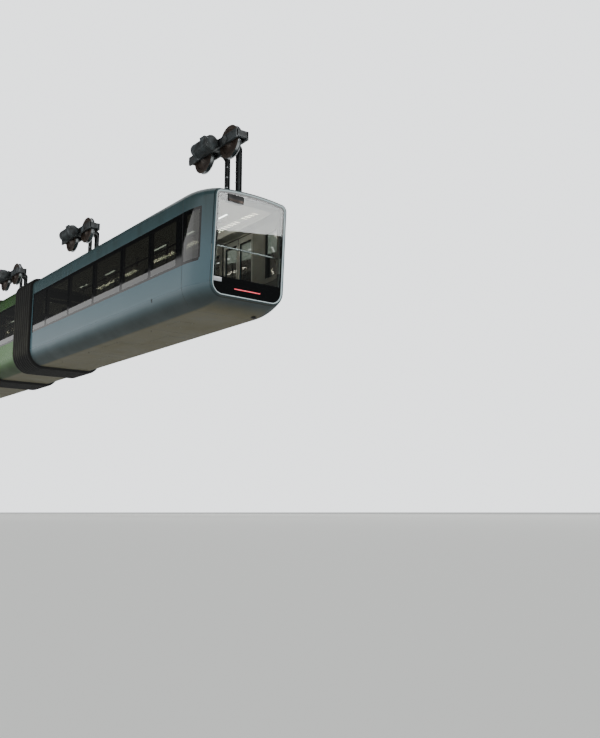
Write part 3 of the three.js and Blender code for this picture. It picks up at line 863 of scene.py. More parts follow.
# %% Painted skins of the end sections
def rounded_band_corners(obj, toward):
    for radius, z in ((CORNER_ROUND["low"], BAND_LOW + CORNER_ROUND["low"]),
                      (CORNER_ROUND["high"], BAND_HIGH - CORNER_ROUND["high"])):
        s = BAND_START + radius
        x = along(toward, s, z)
        pick_points(obj, lambda v: abs(v.x - x) < 0.002 and abs(v.z - z) < 0.002)
        bpy.ops.mesh.bevel(offset=radius * 0.995, segments=7, profile=0.0858, affect="VERTICES")
        done()
    return obj


for end, toward in ENDS.items():
    body = f"{end}_section"
    stations = stations_between(SEAM + SEAM_HALF, END_LENGTH - 0.001, *WINDOW_EDGES, *DOOR_EDGES,
                                *BAND_EDGES)
    skin = body_sheet(f"{end}_side_and_roof_panels", toward, stations,
                      lambda s, p: not in_band(s, p) and not in_door(s, p))
    fitted(wear(BLUE_ENAMEL)(thickened(skin, SHEET)), body, "blue_paint")

    corners = [BAND_START + radius for radius in CORNER_ROUND.values()]
    stations = stations_between(RIM_DEPTH + 0.001, SEAM - SEAM_HALF, *WINDOW_EDGES, BAND_START, *corners,
                                step=0.05)
    moulding = body_sheet(f"{end}_end_moulding", toward, stations,
                          lambda s, p: not in_band(s, p) or in_corner(s, p))
    rounded_band_corners(moulding, toward)
    fitted(wear(BLUE_ENAMEL)(thickened(moulding, SHEET)), body, "blue_paint")
    print(end, "panels", len(skin.data.polygons), len(moulding.data.polygons))

# %% [markdown]
# A rubber seal fills the seam all the way round. Its crown lies just below the paint, and in the
# window band it is the joint between the first pane and the long one.

# %% Seam seals
SEAM_SECTION = [(-0.006, -0.0072), (0.0005, -0.0072), (0.0018, -0.004), (0.0018, 0.004), (0.0005, 0.0072),
                (-0.006, 0.0072)]
for end, toward in ENDS.items():
    rings = [[(along(toward, SEAM + shift, z), y, z) for y, z in outline(SEAM, SKIN + lift - 0.002)]
             for lift, shift in SEAM_SECTION]
    seal = closed_ring(f"{end}_seam_seal", rings, 60)
    fitted(wear(SEAL)(seal), f"{end}_section", "bellows_rubber")
print("seam seals 2")

# %% [markdown]
# The glass bands are cut from the same wrapped grid, so they sit exactly in the gaps of the
# skins. Faces in front of an opening get tinted glass and the rest get the black print.

# %% Glass bands
def glass_band(name, toward, start, end, side, node, body):
    def keep(s, p):
        clear_of_seam = abs(s - SEAM) > SEAM_HALF
        return p.y * side > 0 and BAND_LOW < p.z < BAND_HIGH and start < s < end and clear_of_seam
    extra = [s for span in window_spans() if span[2] == side for s in span[:2]]
    step = 0.09 if start < SEAM else 0.6
    stations = stations_between(start + PANE_GAP, end - PANE_GAP, *extra, SEAM - SEAM_HALF,
                                SEAM + SEAM_HALF, step=step)

    def before_opening(p):
        s = station_of(toward, p)
        in_span = any(a < s < b and where == side for a, b, where in window_spans())
        return in_span and BAND_LOW + SASH < p.z < BAND_HIGH - SASH

    obj = printed(body_sheet(name, toward, stations, keep, SKIN - 0.001), before_opening)
    return fitted(thickened(obj, PANE, bevel=0), body, "dark_glass", node)


for end, toward in ENDS.items():
    body = f"{end}_section"
    glass_band(f"{end}_left_glass", toward, BAND_START, BAND_END, 1, f"{end}_left_window_band", body)
    for where, (a, b) in zip(("outer", "middle", "inner"), right_bands()):
        glass_band(f"{end}_right_glass_{where}", toward, a, b, -1, f"{end}_right_window_band_{where}",
                   body)
print("glass bands", 4 * len(ENDS))

# %% [markdown]
# Each doorway has two plug doors that lie flush in the body side. A leaf follows the round of the
# lower corner, so it is cut from the wrapped grid too, 42 mm thick, with a pane of tinted glass
# over its upper part and a soft rubber finger guard where the leaves meet. A rubber frame closes
# the gap round them.

# %% Double doors
def door_leaf(name, toward, a, b, meets_at_start):
    """One leaf from a to b; its pane stops further from the meeting edge than from the outer one."""
    glass_a = a + (0.055 if meets_at_start else 0.085)
    glass_b = b - (0.085 if meets_at_start else 0.055)

    def on_pane(s, p):
        return glass_a < s < glass_b and DOOR_GLASS_LOW < p.z < DOOR_GLASS_HIGH

    stations = stations_between(a, b, glass_a, glass_b, step=0.3)
    leaf = body_sheet(name, toward, stations, lambda s, p: p.y < 0 and DOOR_LOW < p.z < DOOR_HIGH
                      and not on_pane(s, p))
    wear(BLUE_ENAMEL, LAMINATE)(thickened(leaf, 0.042, bevel=0.003))
    for face in leaf.data.polygons:
        face.material_index = 1 if face.normal.y > 0.2 else 0
    stations = stations_between(glass_a + PANE_GAP, glass_b - PANE_GAP, glass_a + DOOR_SASH,
                                glass_b - DOOR_SASH, step=0.3)
    pane = body_sheet(name + "_pane", toward, stations, lambda s, p: p.y < 0 and on_pane(s, p),
                      SKIN - 0.001)

    def inside_sash(p):
        return (glass_a + DOOR_SASH < station_of(toward, p) < glass_b - DOOR_SASH
                and DOOR_GLASS_LOW + DOOR_SASH < p.z < DOOR_GLASS_HIGH - DOOR_SASH)

    return leaf, thickened(printed(pane, inside_sash), PANE, bevel=0)


def door_frame(toward, a, b):
    """Rubber in the gap round the doorway and down the meeting line."""
    def on_frame(s, p):
        inside = a < s < b and DOOR_LOW < p.z < DOOR_HIGH and p.y < 0
        middle = abs(s - (a + b) / 2) < 0.011
        edge = s < a + 0.008 or s > b - 0.008
        return inside and (middle or edge)
    stations = [a, a + 0.008, (a + b) / 2 - 0.011, (a + b) / 2, (a + b) / 2 + 0.011, b - 0.008, b]
    frame_rubber = body_sheet("door_rubber", toward, stations, on_frame, SKIN - 0.0012)
    return wear(SEAL)(thickened(frame_rubber, 0.03, bevel=0.002))


for end, toward in ENDS.items():
    for number, (a, b) in enumerate(doors(), 1):
        middle = (a + b) / 2
        node = f"{end}_double_door_{number}"
        leaves, panes = [], []
        for half, (c, d) in enumerate(((a + 0.009, middle - 0.012), (middle + 0.012, b - 0.009))):
            leaf, pane = door_leaf(f"{node}_leaf_{half + 1}", toward, c, d, half == 1)
            leaves.append(leaf)
            panes.append(pane)
        button_x = along(toward, middle - 0.12, -2.62)
        button = turned([(0, -0.004), (0.032, -0.004), (0.034, 0.002), (0.03, 0.005), (0.022, 0.0055),
                         (0.02, 0.003), (0, 0.003)], (button_x, -HALF_WIDTH - SKIN, -3.02), "-Y", 24,
                        ALUMINIUM)
        doorway = joined(f"{node}_leaves", leaves + [door_frame(toward, a, b), button])
        fitted(doorway, f"{end}_section", "blue_paint", node)
        glass = joined(f"{node}_panes", panes)
        fitted(glass, f"{end}_section", "dark_glass", f"{node}_glass")
print("doorways", 2 * len(ENDS))

# %% [markdown]
# The middle section has the same outline, drawn along its own short length.

# %% Middle section
GLASS_HALF = MIDDLE_HALF - 0.12
GLASS_INNER = GLASS_HALF - SASH


def middle_sheet(name, lift, stops, keep):
    columns = [[(x, y, z) for y, z in outline(SEAM, lift)] for x in stops]
    obj = face_outward(wrapped(name, columns))
    return drop_faces(obj, lambda c, n: not keep(c))


stops = [-MIDDLE_HALF + 0.001, -GLASS_HALF, 0.0, GLASS_HALF, MIDDLE_HALF - 0.001]
skin = middle_sheet("middle_side_and_roof_panels", SKIN, stops,
                    lambda c: not (BAND_LOW < c.z < BAND_HIGH and abs(c.x) < GLASS_HALF))
fitted(wear(GREEN_ENAMEL)(thickened(skin, SHEET)), "middle_section", "green_paint")
for side, node in ((1, "middle_left_window"), (-1, "middle_right_window")):
    stops = [-GLASS_HALF + PANE_GAP, -GLASS_INNER, 0.0, GLASS_INNER, GLASS_HALF - PANE_GAP]
    pane = middle_sheet(node.replace("window", "glass"), SKIN - 0.001, stops,
                        lambda c: BAND_LOW < c.z < BAND_HIGH and c.y * side > 0)
    printed(pane, lambda p: abs(p.x) < GLASS_INNER and BAND_LOW + SASH < p.z < BAND_HIGH - SASH)
    fitted(thickened(pane, PANE, bevel=0), "middle_section", "dark_glass", node)
print("middle section", len(skin.data.polygons), "faces")

# %% [markdown]
# The rim round each end window is a painted casting with soft edges. A loop of body outlines,
# each a little smaller or deeper than the last, is wrapped into a ring that closes on itself.
# The body colour runs over its outer part, and a pale line 20 mm wide follows the glass.

# %% End rims
RIM_SECTION = [  # lift, distance from the end
    (0.004, RIM_DEPTH), (0.004, 0.016), (0.001, 0.006), (-0.006, 0.0), (-0.034, -0.003),
    (-0.046, 0.0), (-0.053, 0.006), (-RIM_WIDTH, 0.016), (-RIM_WIDTH, RIM_DEPTH),
]


def rim_ring(toward, lift, s):
    """The face's own outline, moved in by the lift, at distance s."""
    return [(along(toward, s, z), y, z) for y, z in outline(0.0, lift)]


for end, toward in ENDS.items():
    rings = [rim_ring(toward, lift, s) for lift, s in RIM_SECTION]
    rim = closed_ring(f"{end}_window_rim", rings, 50)
    wear(RIM_ENAMEL, BLUE_ENAMEL)(rim)
    body_side = {tuple(round(v, 4) for v in p) for ring in rings[:5] for p in ring}
    for face in rim.data.polygons:
        corners = [tuple(round(v, 4) for v in rim.data.vertices[i].co) for i in face.vertices]
        face.material_index = 1 if all(corner in body_side for corner in corners) else 0
    fitted(rim, f"{end}_section", "rim_paint", f"{end}_end_rim")
print("end rims 2")

# %% [markdown]
# The end window is one pane inside the rim: clear glass with a border of black print 31 mm wide,
# and an apron 0.36 m high at the bottom that is print all over. The pane is wrapped as a narrow
# ring, filled in its middle, and cut across at the top of the apron.

# %% End windows
PRINT_BORDER = 0.032
for end, toward in ENDS.items():
    rings = [rim_ring(toward, -RIM_WIDTH - inward, 0.02) for inward in (0.001, PRINT_BORDER)]
    pane = wrapped(f"{end}_window_glass", rings)
    inner = {tuple(round(v, 4) for v in p) for p in rings[1]}
    edit(pane, "EDGE")
    done()
    for edge in pane.data.edges:
        ends = [tuple(round(v, 4) for v in pane.data.vertices[i].co) for i in edge.vertices]
        edge.select = all(e in inner for e in ends)
    bpy.ops.object.mode_set(mode="EDIT")
    bpy.ops.mesh.edge_face_add()
    bpy.ops.mesh.select_all(action="SELECT")
    bpy.ops.mesh.bisect(plane_co=(0, 0, APRON_Z), plane_no=(0, 0, 1))
    done()
    outward(pane)
    if sum(f.normal.x * f.area for f in pane.data.polygons) * toward < 0:
        edit(pane, "FACE", "SELECT")
        bpy.ops.mesh.flip_normals()
        done()
    wear(CLEAR_GLASS, PRINT)(pane)
    for face in pane.data.polygons:
        face.material_index = 0 if face.area > 0.3 and face.center.z > APRON_Z else 1
    apply(pane, "SOLIDIFY", thickness=0.01, offset=-1.0)
    smooth(pane, 30, weighted=False)
    fitted(pane, f"{end}_section", "clear_glass", f"{end}_end_window")
    print(end, "window panes", [round(f.area, 2) for f in pane.data.polygons if f.area > 0.2])

# %% [markdown]
# The lamps sit low in the apron: one slim red strip across the rear, and two headlamps in front
# with three round reflectors each. The rear strip is a bar with rounded ends that stands 5 mm
# proud of the glass. A blank plate leans in the left lower corner of the rear window.

# %% Lamps and plate in the end windows
def leaning_bar(toward, y, z, s, soft, finish):
    """A block whose outer face follows the lean of the window."""
    obj = block((from_end(toward, s[0]), y[0], z[0]), (from_end(toward, s[1]), y[1], z[1]), 0)
    for vertex in obj.data.vertices:
        vertex.co.x += along(toward, 0, vertex.co.z) - toward * HALF_LENGTH
    apply(obj, "BEVEL", width=soft, segments=3, limit_method="ANGLE", angle_limit=math.radians(30))
    return wear(finish)(smooth(obj, 40, weighted=False))


strip = leaning_bar(-1, (-0.33, 0.33), (-3.28, -3.258), (0.0145, 0.0295), 0.006, RED_LENS)
strip.name = "rear_tail_strip"
fitted(strip, "rear_section", "red_lamp", "rear_tail_lamp")
plate_front = leaning_bar(-1, (0.655, 0.855), (-3.165, -3.075), (0.016, 0.0195), 0.001, BLANK_PLATE)
plate_front.name = "rear_blank_plate"
fitted(plate_front, "rear_section", "rim_paint")
for side, low, high in (("left", 0.38, 0.70), ("right", -0.70, -0.38)):
    housing = leaning_bar(1, (low, high), (-3.33, -3.22), (0.0175, 0.0295), 0.004, CASING)
    parts = [housing]
    for i in range(3):
        y = low + 0.06 + 0.1 * i
        bowl = [(0, 0.0), (0.034, 0.0), (0.044, 0.004), (0.046, 0.006), (0.044, 0.0075), (0.04, 0.0065),
                (0.034, 0.0025), (0, 0.002)]
        x = along(1, 0.0195, -3.275)
        parts.append(turned(bowl, (x - 0.002, y, -3.275), "X", 32, ALUMINIUM))
        lens = [(0, 0.001), (0.033, 0.001), (0.034, 0.003), (0.03, 0.0055), (0.018, 0.0075), (0, 0.0085)]
        parts.append(turned(lens, (x - 0.002, y, -3.275), "X", 32, CLEAR_LENS))
    lamp = joined(f"{side}_headlamp_cluster", parts)
    fitted(smooth(lamp, 40), "front_section", "white_lamp", f"{side}_headlamp")
print("lamps 3")

# %% [markdown]
# The bellows are rubber-coated cloth, folded to a rounded crest and a sharp valley. The wrapped
# grid gets eight stations for each fold. The cloth is a plain weave about 3 mm apart, too fine to
# show here, so soft bands 38 mm apart stand for it. Dust lies on the crests and thins out towards
# the top, so the upper folds are darker: painted shade from above.

# %% Bellows
CLOTH, tree, shader, place = new_finish("rubber_coated_bellows_cloth")
weave = add_node(tree, "ShaderNodeTexWave", {
    "Vector": place, "Scale": BAND_SCALE, "Distortion": 1.0, "Detail": 2.0}, bands_direction="Z")
dust_and_painted_light = add_node(tree, "ShaderNodeTexNoise", {"Vector": place, "Scale": 4.0, "Detail": 6.0})
cloth_across = add_node(tree, "ShaderNodeSeparateXYZ", {"Vector": place})
away = add_node(tree, "ShaderNodeMath", {0: cloth_across.outputs["Y"]}, operation="ABSOLUTE")
crest = add_node(tree, "ShaderNodeMapRange", {
    "Value": away, "From Min": HALF_WIDTH + 0.03, "From Max": HALF_WIDTH + 0.085, "To Min": 0.0,
    "To Max": 0.75})
# Less dust towards the top, so the upper folds stay darker: painted shade from above.
dust_below_shade_above = add_node(tree, "ShaderNodeMapRange", {
    "Value": cloth_across.outputs["Z"], "From Min": -1.6, "From Max": -3.3, "To Min": 0.25,
    "To Max": 1.2})
crest_dust_and_shade = add_node(tree, "ShaderNodeMath", {0: crest, 1: dust_below_shade_above}, operation="MULTIPLY")
crest_dust_and_shade_patches = add_node(tree, "ShaderNodeMath", {0: crest_dust_and_shade, 1: dust_and_painted_light}, operation="MULTIPLY")
tone = add_node(tree, "ShaderNodeMix", {
    "Factor": crest_dust_and_shade_patches, "A": colour("#060707"), "B": colour("#414035")}, data_type="RGBA")
bump = add_node(tree, "ShaderNodeBump", {
    "Height": weave.outputs["Fac"], "Strength": 0.2, "Distance": 0.001})
set_shader(shader, Base_Color=tone, Normal=bump, Roughness=0.7, IOR=1.4)
FOLDS = 8
FOLD_STATIONS = 8
CREST, VALLEY = 0.086, 0.016
CLAMP_SECTION = [(0.001, -0.014), (0.012, -0.012), (0.012, 0.012), (0.001, 0.014), (-0.003, 0.0)]

for end, toward in ENDS.items():
    start = MIDDLE_HALF + 0.004
    length = BELLOWS_LENGTH - 0.008
    columns = []
    last = FOLD_STATIONS * FOLDS
    for i in range(last + 1):
        rise = abs(math.sin(math.pi * (i % FOLD_STATIONS) / FOLD_STATIONS)) ** 0.6
        lift = VALLEY + (CREST - VALLEY) * rise if 0 < i < last else 0.0
        columns.append([(toward * (start + length * i / last), y, z) for y, z in outline(SEAM, lift)])
    folds = face_outward(wrapped(f"{end}_folded_bellows", columns))
    apply(folds, "SOLIDIFY", thickness=0.004, offset=-1.0)
    smooth(folds, 60, weighted=False)
    wear(CLOTH)(folds)
    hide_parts(f"{end}_bellows")
    inner = (toward * start, 0, -2.3)
    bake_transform(folds)
    for where, x, body in (("inner", toward * (MIDDLE_HALF + 0.002), "middle_section"),
                           ("outer", toward * (start + length + 0.002), f"{end}_section")):
        rings = [[(x + shift, y, z) for y, z in outline(SEAM, lift)] for lift, shift in CLAMP_SECTION]
        clamp = closed_ring(f"{end}_bellows_clamp_{where}", rings, 60)
        fitted(wear(SEAL)(clamp), body, "bellows_rubber")
print("bellows", len(folds.data.polygons), "faces each")

# %% [markdown]
# Each wheel is rolled steel with two flanges, pressed on an axle. It is one closed profile spun
# round the axle. The tread between the flanges is polished by the rail and everything else is
# dark with oxide and grease. Eight bolts hold the hub, and they show that the wheel turns.

# %% Wheels
WHEEL_Z, AXLE_X = 0.35, 0.55
WHEEL_HALF_PROFILE = [
    (0.0, 0.115), (0.048, 0.115), (0.056, 0.108), (0.062, 0.088), (0.108, 0.066), (0.118, 0.052),
    (0.15, 0.038), (0.245, 0.032), (0.272, 0.038), (0.288, 0.054), (0.298, 0.059), (0.366, 0.059),
    (0.377, 0.053), (0.3795, 0.046), (0.371, 0.039), (0.356, 0.0355), (0.35, 0.033),
]


def wheel_set(name):
    profile = WHEEL_HALF_PROFILE + [(r, -h) for r, h in reversed(WHEEL_HALF_PROFILE)]
    disc = wear(OXIDE, TREAD)(turned(profile, axis="Y", steps=72))
    for face in disc.data.polygons:
        radius = math.hypot(face.center.x, face.center.z)
        face.material_index = 1 if radius > 0.345 and abs(face.center.y) < 0.05 else 0
    smooth(disc, 32)
    parts = [disc]
    for side, axis in ((-1, "-Y"), (1, "Y")):
        parts.append(bolts(ring_of(8, 0.086, (0, side * 0.077, 0), "Y"), axis, 0.0095, ZINC))
        parts.append(turned([(0, -0.004), (0.034, -0.004), (0.036, 0.0), (0.03, 0.004), (0, 0.004)],
                            (0, side * 0.113, 0), axis, 24, MOTOR))
    return joined(name, parts)


pattern_wheel = wheel_set("pattern_wheel")
for name, (s, toward) in BOGIES.items():
    for place, offset in (("leading", AXLE_X), ("trailing", -AXLE_X)):
        wheel = copied(pattern_wheel, (from_end(toward, s) + offset, 0, WHEEL_Z),
                       f"{name}_{place}_flanged_wheel")
        fitted(wheel, f"{name}_{place}_wheel", "wheel_steel", f"{name}_{place}_wheel")
bpy.data.objects.remove(pattern_wheel)
print("wheels", 2 * len(BOGIES), "triangles each", triangles(wheel))

# %% [markdown]
# A bogie frame is two deep side beams with cross members between the wheels. Two C-shaped arms
# reach out past the wheels, down the right side of the rail, and back in under it to the pivot on
# the roof. Beams and arms are fabricated from plate, so their sides are recessed between flanges:
# the outline is cut as a plate, then each side face is inset and pushed in.

# %% Bogie frame stock
def recessed(obj, axis, width, depth, least):
    """Inset the large flat faces that look along the axis and push them in between flanges."""
    i = "XYZ".index(axis)
    for sign in (-1, 1):
        pick_faces(obj, lambda c, n: n[i] * sign > 0.99)
        done()
        chosen = [f for f in obj.data.polygons if f.select]
        big = max(chosen, key=lambda f: f.area)
        for face in chosen:
            face.select = face.index == big.index and big.area > least
        bpy.ops.object.mode_set(mode="EDIT")
        bpy.ops.mesh.inset(thickness=width, depth=0)
        push = [0, 0, 0]
        push[i] = -sign * depth
        bpy.ops.mesh.extrude_region_move(TRANSFORM_OT_translate={"value": push})
        done()
    return obj


def eased(obj, width):
    apply(obj, "BEVEL", width=width, segments=2, limit_method="ANGLE", angle_limit=math.radians(35))
    return smooth(obj, 40)


def hanger_arm(x0):
    c_shape = [(-0.16, 0.36), (-0.352, 0.36), (-0.388, 0.348), (-0.40, 0.312), (-0.40, -0.762),
               (-0.388, -0.798), (-0.352, -0.81), (0.2, -0.81), (0.2, -0.9), (-0.39, -0.9),
               (-0.44, -0.885), (-0.47, -0.83), (-0.47, 0.39), (-0.448, 0.445), (-0.40, 0.47),
               (-0.16, 0.47)]
    arm = plate(c_shape, 0.14, "X", x0, soft=0)
    return wear(STEEL)(eased(recessed(arm, "X", 0.013, 0.045, 0.05), 0.003))


def side_beam(y0, y1):
    beam = block((-1.01, y0, 0.27), (1.01, y1, 0.47), soft=0)
    return wear(STEEL)(eased(recessed(beam, "Y", 0.02, 0.012, 0.1), 0.004))


print("stock for frames ready")

# %% [markdown]
# The whole frame is modelled once about its own pivot, with bearing caps, gussets, bolts, brake
# calipers, a sandwich of rubber springs over the pivot plate and clipped conduits down one arm.
# Then it is copied to the four pivots.

# %% Bogie frames
def conduit(points, radius, finish):
    """Bar bent along points: straight runs with a ball at each bend."""
    parts = [bar(a, b, radius, 14, 0, finish) for a, b in zip(points, points[1:])]
    for point in points[1:-1]:
        bpy.ops.mesh.primitive_uv_sphere_add(segments=14, ring_count=8, radius=radius, location=point)
        parts.append(wear(finish)(settle(bpy.context.object)))
    return parts


def bearing_cap(x, side):
    axis = "Y" if side > 0 else "-Y"
    profile = [(0, -0.01), (0.088, -0.01), (0.092, -0.006), (0.092, 0.006), (0.078, 0.01), (0.066, 0.02),
               (0.05, 0.024), (0.03, 0.026), (0, 0.026)]
    cap = smooth(turned(profile, (x, side * 0.17, WHEEL_Z), axis, 36, MOTOR), 35)
    return [cap, bolts(ring_of(6, 0.078, (x, side * 0.178, WHEEL_Z), "Y"), axis, 0.007, ZINC)]


def brake_caliper(x):
    body = block((x - 0.09, -0.165, 0.472), (x + 0.09, -0.075, 0.55), 0.012, 3, MOTOR)
    jaw = block((x - 0.07, -0.1, 0.55), (x + 0.07, -0.07, 0.66), 0.008, 2, MOTOR)
    cylinder = bar((x, -0.19, 0.6), (x, -0.1, 0.6), 0.038, 24, 0.004, MOTOR)
    heads = bolts([(x - 0.07, -0.12, 0.55), (x + 0.07, -0.12, 0.55)], "Z", 0.008, ZINC)
    return [body, jaw, cylinder, heads]


def bogie_frame():
    parts = [side_beam(0.1153, 0.17), side_beam(-0.17, -0.1153)]
    for x0, x1 in ((-1.01, -0.94), (-0.06, 0.06), (0.94, 1.01)):
        parts.append(wear(STEEL)(eased(block((x0, -0.15, 0.31), (x1, 0.15, 0.466), 0), 0.006)))
    for x0 in (-0.32, 0.18):
        parts.append(hanger_arm(x0))
        gusset = [(-0.4, 0.36), (-0.4, 0.24), (-0.38, 0.24), (-0.27, 0.345), (-0.27, 0.36)]
        foot_gusset = [(-0.4, -0.81), (-0.27, -0.81), (-0.27, -0.795), (-0.38, -0.69), (-0.4, -0.69)]
        parts += [plate(shape, 0.012, "X", x0 + 0.064, 0.002, STEEL) for shape in (gusset, foot_gusset)]
        rows = (x0 + 0.03, x0 + 0.11)
        top = [(x, y, 0.47) for x in rows for y in (-0.36, -0.28, -0.21)]
        flank = [(x, -0.47, z) for x in rows for z in (-0.82, -0.74, 0.3, 0.38)]
        parts += [bolts(top, "Z", 0.013, ZINC), bolts(flank, "-Y", 0.013, ZINC)]
    parts.append(wear(STEEL)(eased(block((-0.32, -0.2, -0.9), (0.32, 0.2, -0.81), 0), 0.008)))
    for y in (-0.17, 0.17):
        parts.append(wear(STEEL)(block((-0.18, y - 0.012, -0.9), (0.18, y + 0.012, -0.76), 0.004)))
    pad = [(0, -0.985), (0.262, -0.985), (0.28, -0.972), (0.28, -0.958), (0.262, -0.952), (0.262, -0.942),
           (0.278, -0.936), (0.278, -0.922), (0.26, -0.916), (0.26, -0.896), (0, -0.896)]
    parts.append(smooth(turned(pad, (0, 0, 0), "Z", 56, SEAL), 30))
    collar = [(0.1, -0.82), (0.17, -0.82), (0.17, -0.79), (0.15, -0.78), (0.15, -0.74), (0.13, -0.72),
              (0.1, -0.72)]
    parts.append(smooth(turned(collar, (0, 0, 0), "Z", 40, STEEL), 30))
    parts.append(bolts(ring_of(10, 0.235, (0, 0, -0.808)), "Z", 0.014, ZINC))
    for x in (-AXLE_X, AXLE_X):
        for side in (-1, 1):
            parts += bearing_cap(x, side)
        parts += brake_caliper(x)
    for x in (-0.21, 0.21):
        line = [(x, -0.2, 0.445), (x, -0.37, 0.33), (x, -0.385, 0.2), (x, -0.385, -0.7),
                (x, -0.3, -0.795), (x, -0.12, -0.795)]
        for shift in (-0.018, 0.018):
            parts += conduit([(px + shift, py, pz) for px, py, pz in line], 0.011, HOSE)
        parts += [block((x - 0.036, -0.402, z - 0.012), (x + 0.036, -0.37, z + 0.012), 0.003, 2, ZINC)
                  for z in (0.1, -0.15, -0.4, -0.62)]
    for x in (-0.93, 0.93):
        parts.append(wear(SEAL)(block((x - 0.01, -0.09, 0.40), (x + 0.01, 0.09, 0.46), 0.004)))
    return joined("pattern_frame", parts)


def on_each_bogie(pattern, what, slot, node):
    """A copy of the pattern on every bogie, in place of that bogie's node."""
    for name, (s, toward) in BOGIES.items():
        piece = copied(pattern, (from_end(toward, s), 0, 0), f"{name}_{what}")
        fitted(piece, name, slot, f"{name}_{node}")
    bpy.data.objects.remove(pattern)
    print(what, len(BOGIES), "triangles each", triangles(piece))


on_each_bogie(bogie_frame(), "fabricated_frame", "bogie_steel", "frame_and_hanger")

# %% [markdown]
# The motor lies along the bogie on the left of the wheels: a cast barrel with cooling ribs, two
# end bells with bolts, a terminal box with its cable glands, and a gearbox against the beam. The
# ribs are part of the spun profile, which steps in and out every 46 mm.

# %% Motors
MOTOR_Y, MOTOR_Z = 0.36, 0.33
TERMINAL_Z = 0.505


def drive_motor():
    profile = [(0, -0.38), (0.1, -0.38), (0.115, -0.37), (0.155, -0.345), (0.168, -0.33), (0.17, -0.3),
               (0.156, -0.296)]
    for i in range(12):
        x = -0.275 + 0.046 * i
        profile += [(0.15, x), (0.169, x + 0.006), (0.169, x + 0.018), (0.15, x + 0.024)]
    profile += [(0.156, 0.296), (0.17, 0.3), (0.168, 0.33), (0.155, 0.345), (0.115, 0.37), (0.1, 0.38),
                (0, 0.38)]
    parts = [smooth(turned(profile, (0, MOTOR_Y, MOTOR_Z), "X", 48, MOTOR), 30)]
    for sign, axis in ((-1, "-X"), (1, "X")):
        parts.append(bolts(ring_of(8, 0.142, (sign * 0.352, MOTOR_Y, MOTOR_Z), "X", 0.39), axis, 0.009,
                           ZINC))
        hub = [(0, 0), (0.05, 0), (0.052, 0.004), (0.045, 0.012), (0, 0.012)]
        parts.append(turned(hub, (sign * 0.372, MOTOR_Y, MOTOR_Z), axis, 28, MOTOR))
    parts.append(wear(MOTOR)(eased(block((-0.1, 0.29, 0.465), (0.1, 0.43, 0.545), 0), 0.01)))
    parts.append(block((-0.105, 0.285, 0.545), (0.105, 0.435, 0.556), 0.003, 2, MOTOR))
    parts.append(bolts([(x, y, 0.556) for x in (-0.09, 0.09) for y in (0.3, 0.42)], "Z", 0.006, ZINC))
    for x in (-0.05, 0.05):
        parts.append(bar((x, 0.285, TERMINAL_Z), (x, 0.24, TERMINAL_Z), 0.016, 6, 0.002, ZINC))
        parts += conduit([(x, 0.25, TERMINAL_Z), (x, 0.2, TERMINAL_Z), (x, 0.18, 0.49), (x, 0.176, 0.46)],
                         0.009, HOSE)
    gearbox = eased(recessed(block((-0.3, 0.1705, 0.28), (0.3, 0.29, 0.44), 0), "Z", 0.02, 0.008, 0.02),
                    0.01)
    parts.append(wear(MOTOR)(gearbox))
    for x in (-0.28, 0.0, 0.28):
        parts.append(block((x - 0.014, 0.1705, 0.262), (x + 0.014, 0.24, 0.458), 0.004, 2, MOTOR))
    parts.append(bolts([(x, 0.255, 0.44) for x in (-0.22, -0.11, 0.11, 0.22)], "Z", 0.01, ZINC))
    bpy.ops.mesh.primitive_torus_add(location=(0.16, MOTOR_Y, 0.522), rotation=(math.pi / 2, 0, 0),
                                     major_radius=0.022, minor_radius=0.006, major_segments=20,
                                     minor_segments=8)
    parts.append(wear(ZINC)(settle(bpy.context.object)))
    return joined("pattern_motor", parts)


on_each_bogie(drive_motor(), "ribbed_motor", "motor_grey", "motor")

# %% [markdown]
# On the roof, each pivot stands on a bolted ring, cable ducts run beside the middle line, and a
# low air-conditioning unit sits between the bogies. Its housing is glass fibre with rounded edges,
# side louvres, two fan openings with wire guards, and a lid held by bolts.

# %% Roof fittings
UNIT_S, UNIT_HALF, UNIT_SIDE, UNIT_TOP = 5.3, 1.0, 0.62, -0.85
FAN_SHIFT, FAN_RADIUS = 0.62, 0.19


def roof_line(y):
    flat = HALF_WIDTH - ROOF_RADIUS
    return ROOF_Z + CAMBER * (1 - min(1.0, abs(y) / flat) ** 2)


def fan_guard(x, y, z):
    parts = [turned([(0.17, -0.02), (0.235, -0.02), (0.24, 0.0), (0.232, 0.006), (0.2, 0.006),
                     (0.19, -0.006)], (x, y, z), "Z", 44, POLYESTER)]
    for radius in (0.06, 0.095, 0.13, 0.165):
        bpy.ops.mesh.primitive_torus_add(location=(x, y, z + 0.002), major_radius=radius,
                                         minor_radius=0.003, major_segments=40, minor_segments=6)
        parts.append(wear(ZINC)(settle(bpy.context.object)))
    for i in range(4):
        a = math.pi * i / 4
        u, v = FAN_RADIUS * math.cos(a), FAN_RADIUS * math.sin(a)
        parts.append(bar((x - u, y - v, z - 0.002), (x + u, y + v, z - 0.002), 0.003, 8, 0, ZINC))
    well = turned([(0, -0.16), (0.19, -0.16), (0.19, -0.01), (0.186, -0.01), (0.186, -0.155),
                   (0, -0.155)], (x, y, z), "Z", 36, CASING)
    hub = turned([(0, -0.06), (0.045, -0.06), (0.045, -0.02), (0.035, -0.012), (0, -0.01)], (x, y, z),
                 "Z", 24, CASING)
    parts += [well, hub]
    for i in range(5):
        a = math.tau * i / 5
        blade = block((0.04, -0.035, -0.004), (0.178, 0.035, 0.004), 0.002, 1, CASING)
        parts.append(placed(blade, (x, y, z - 0.04), (math.radians(28), 0, a)))
    return parts


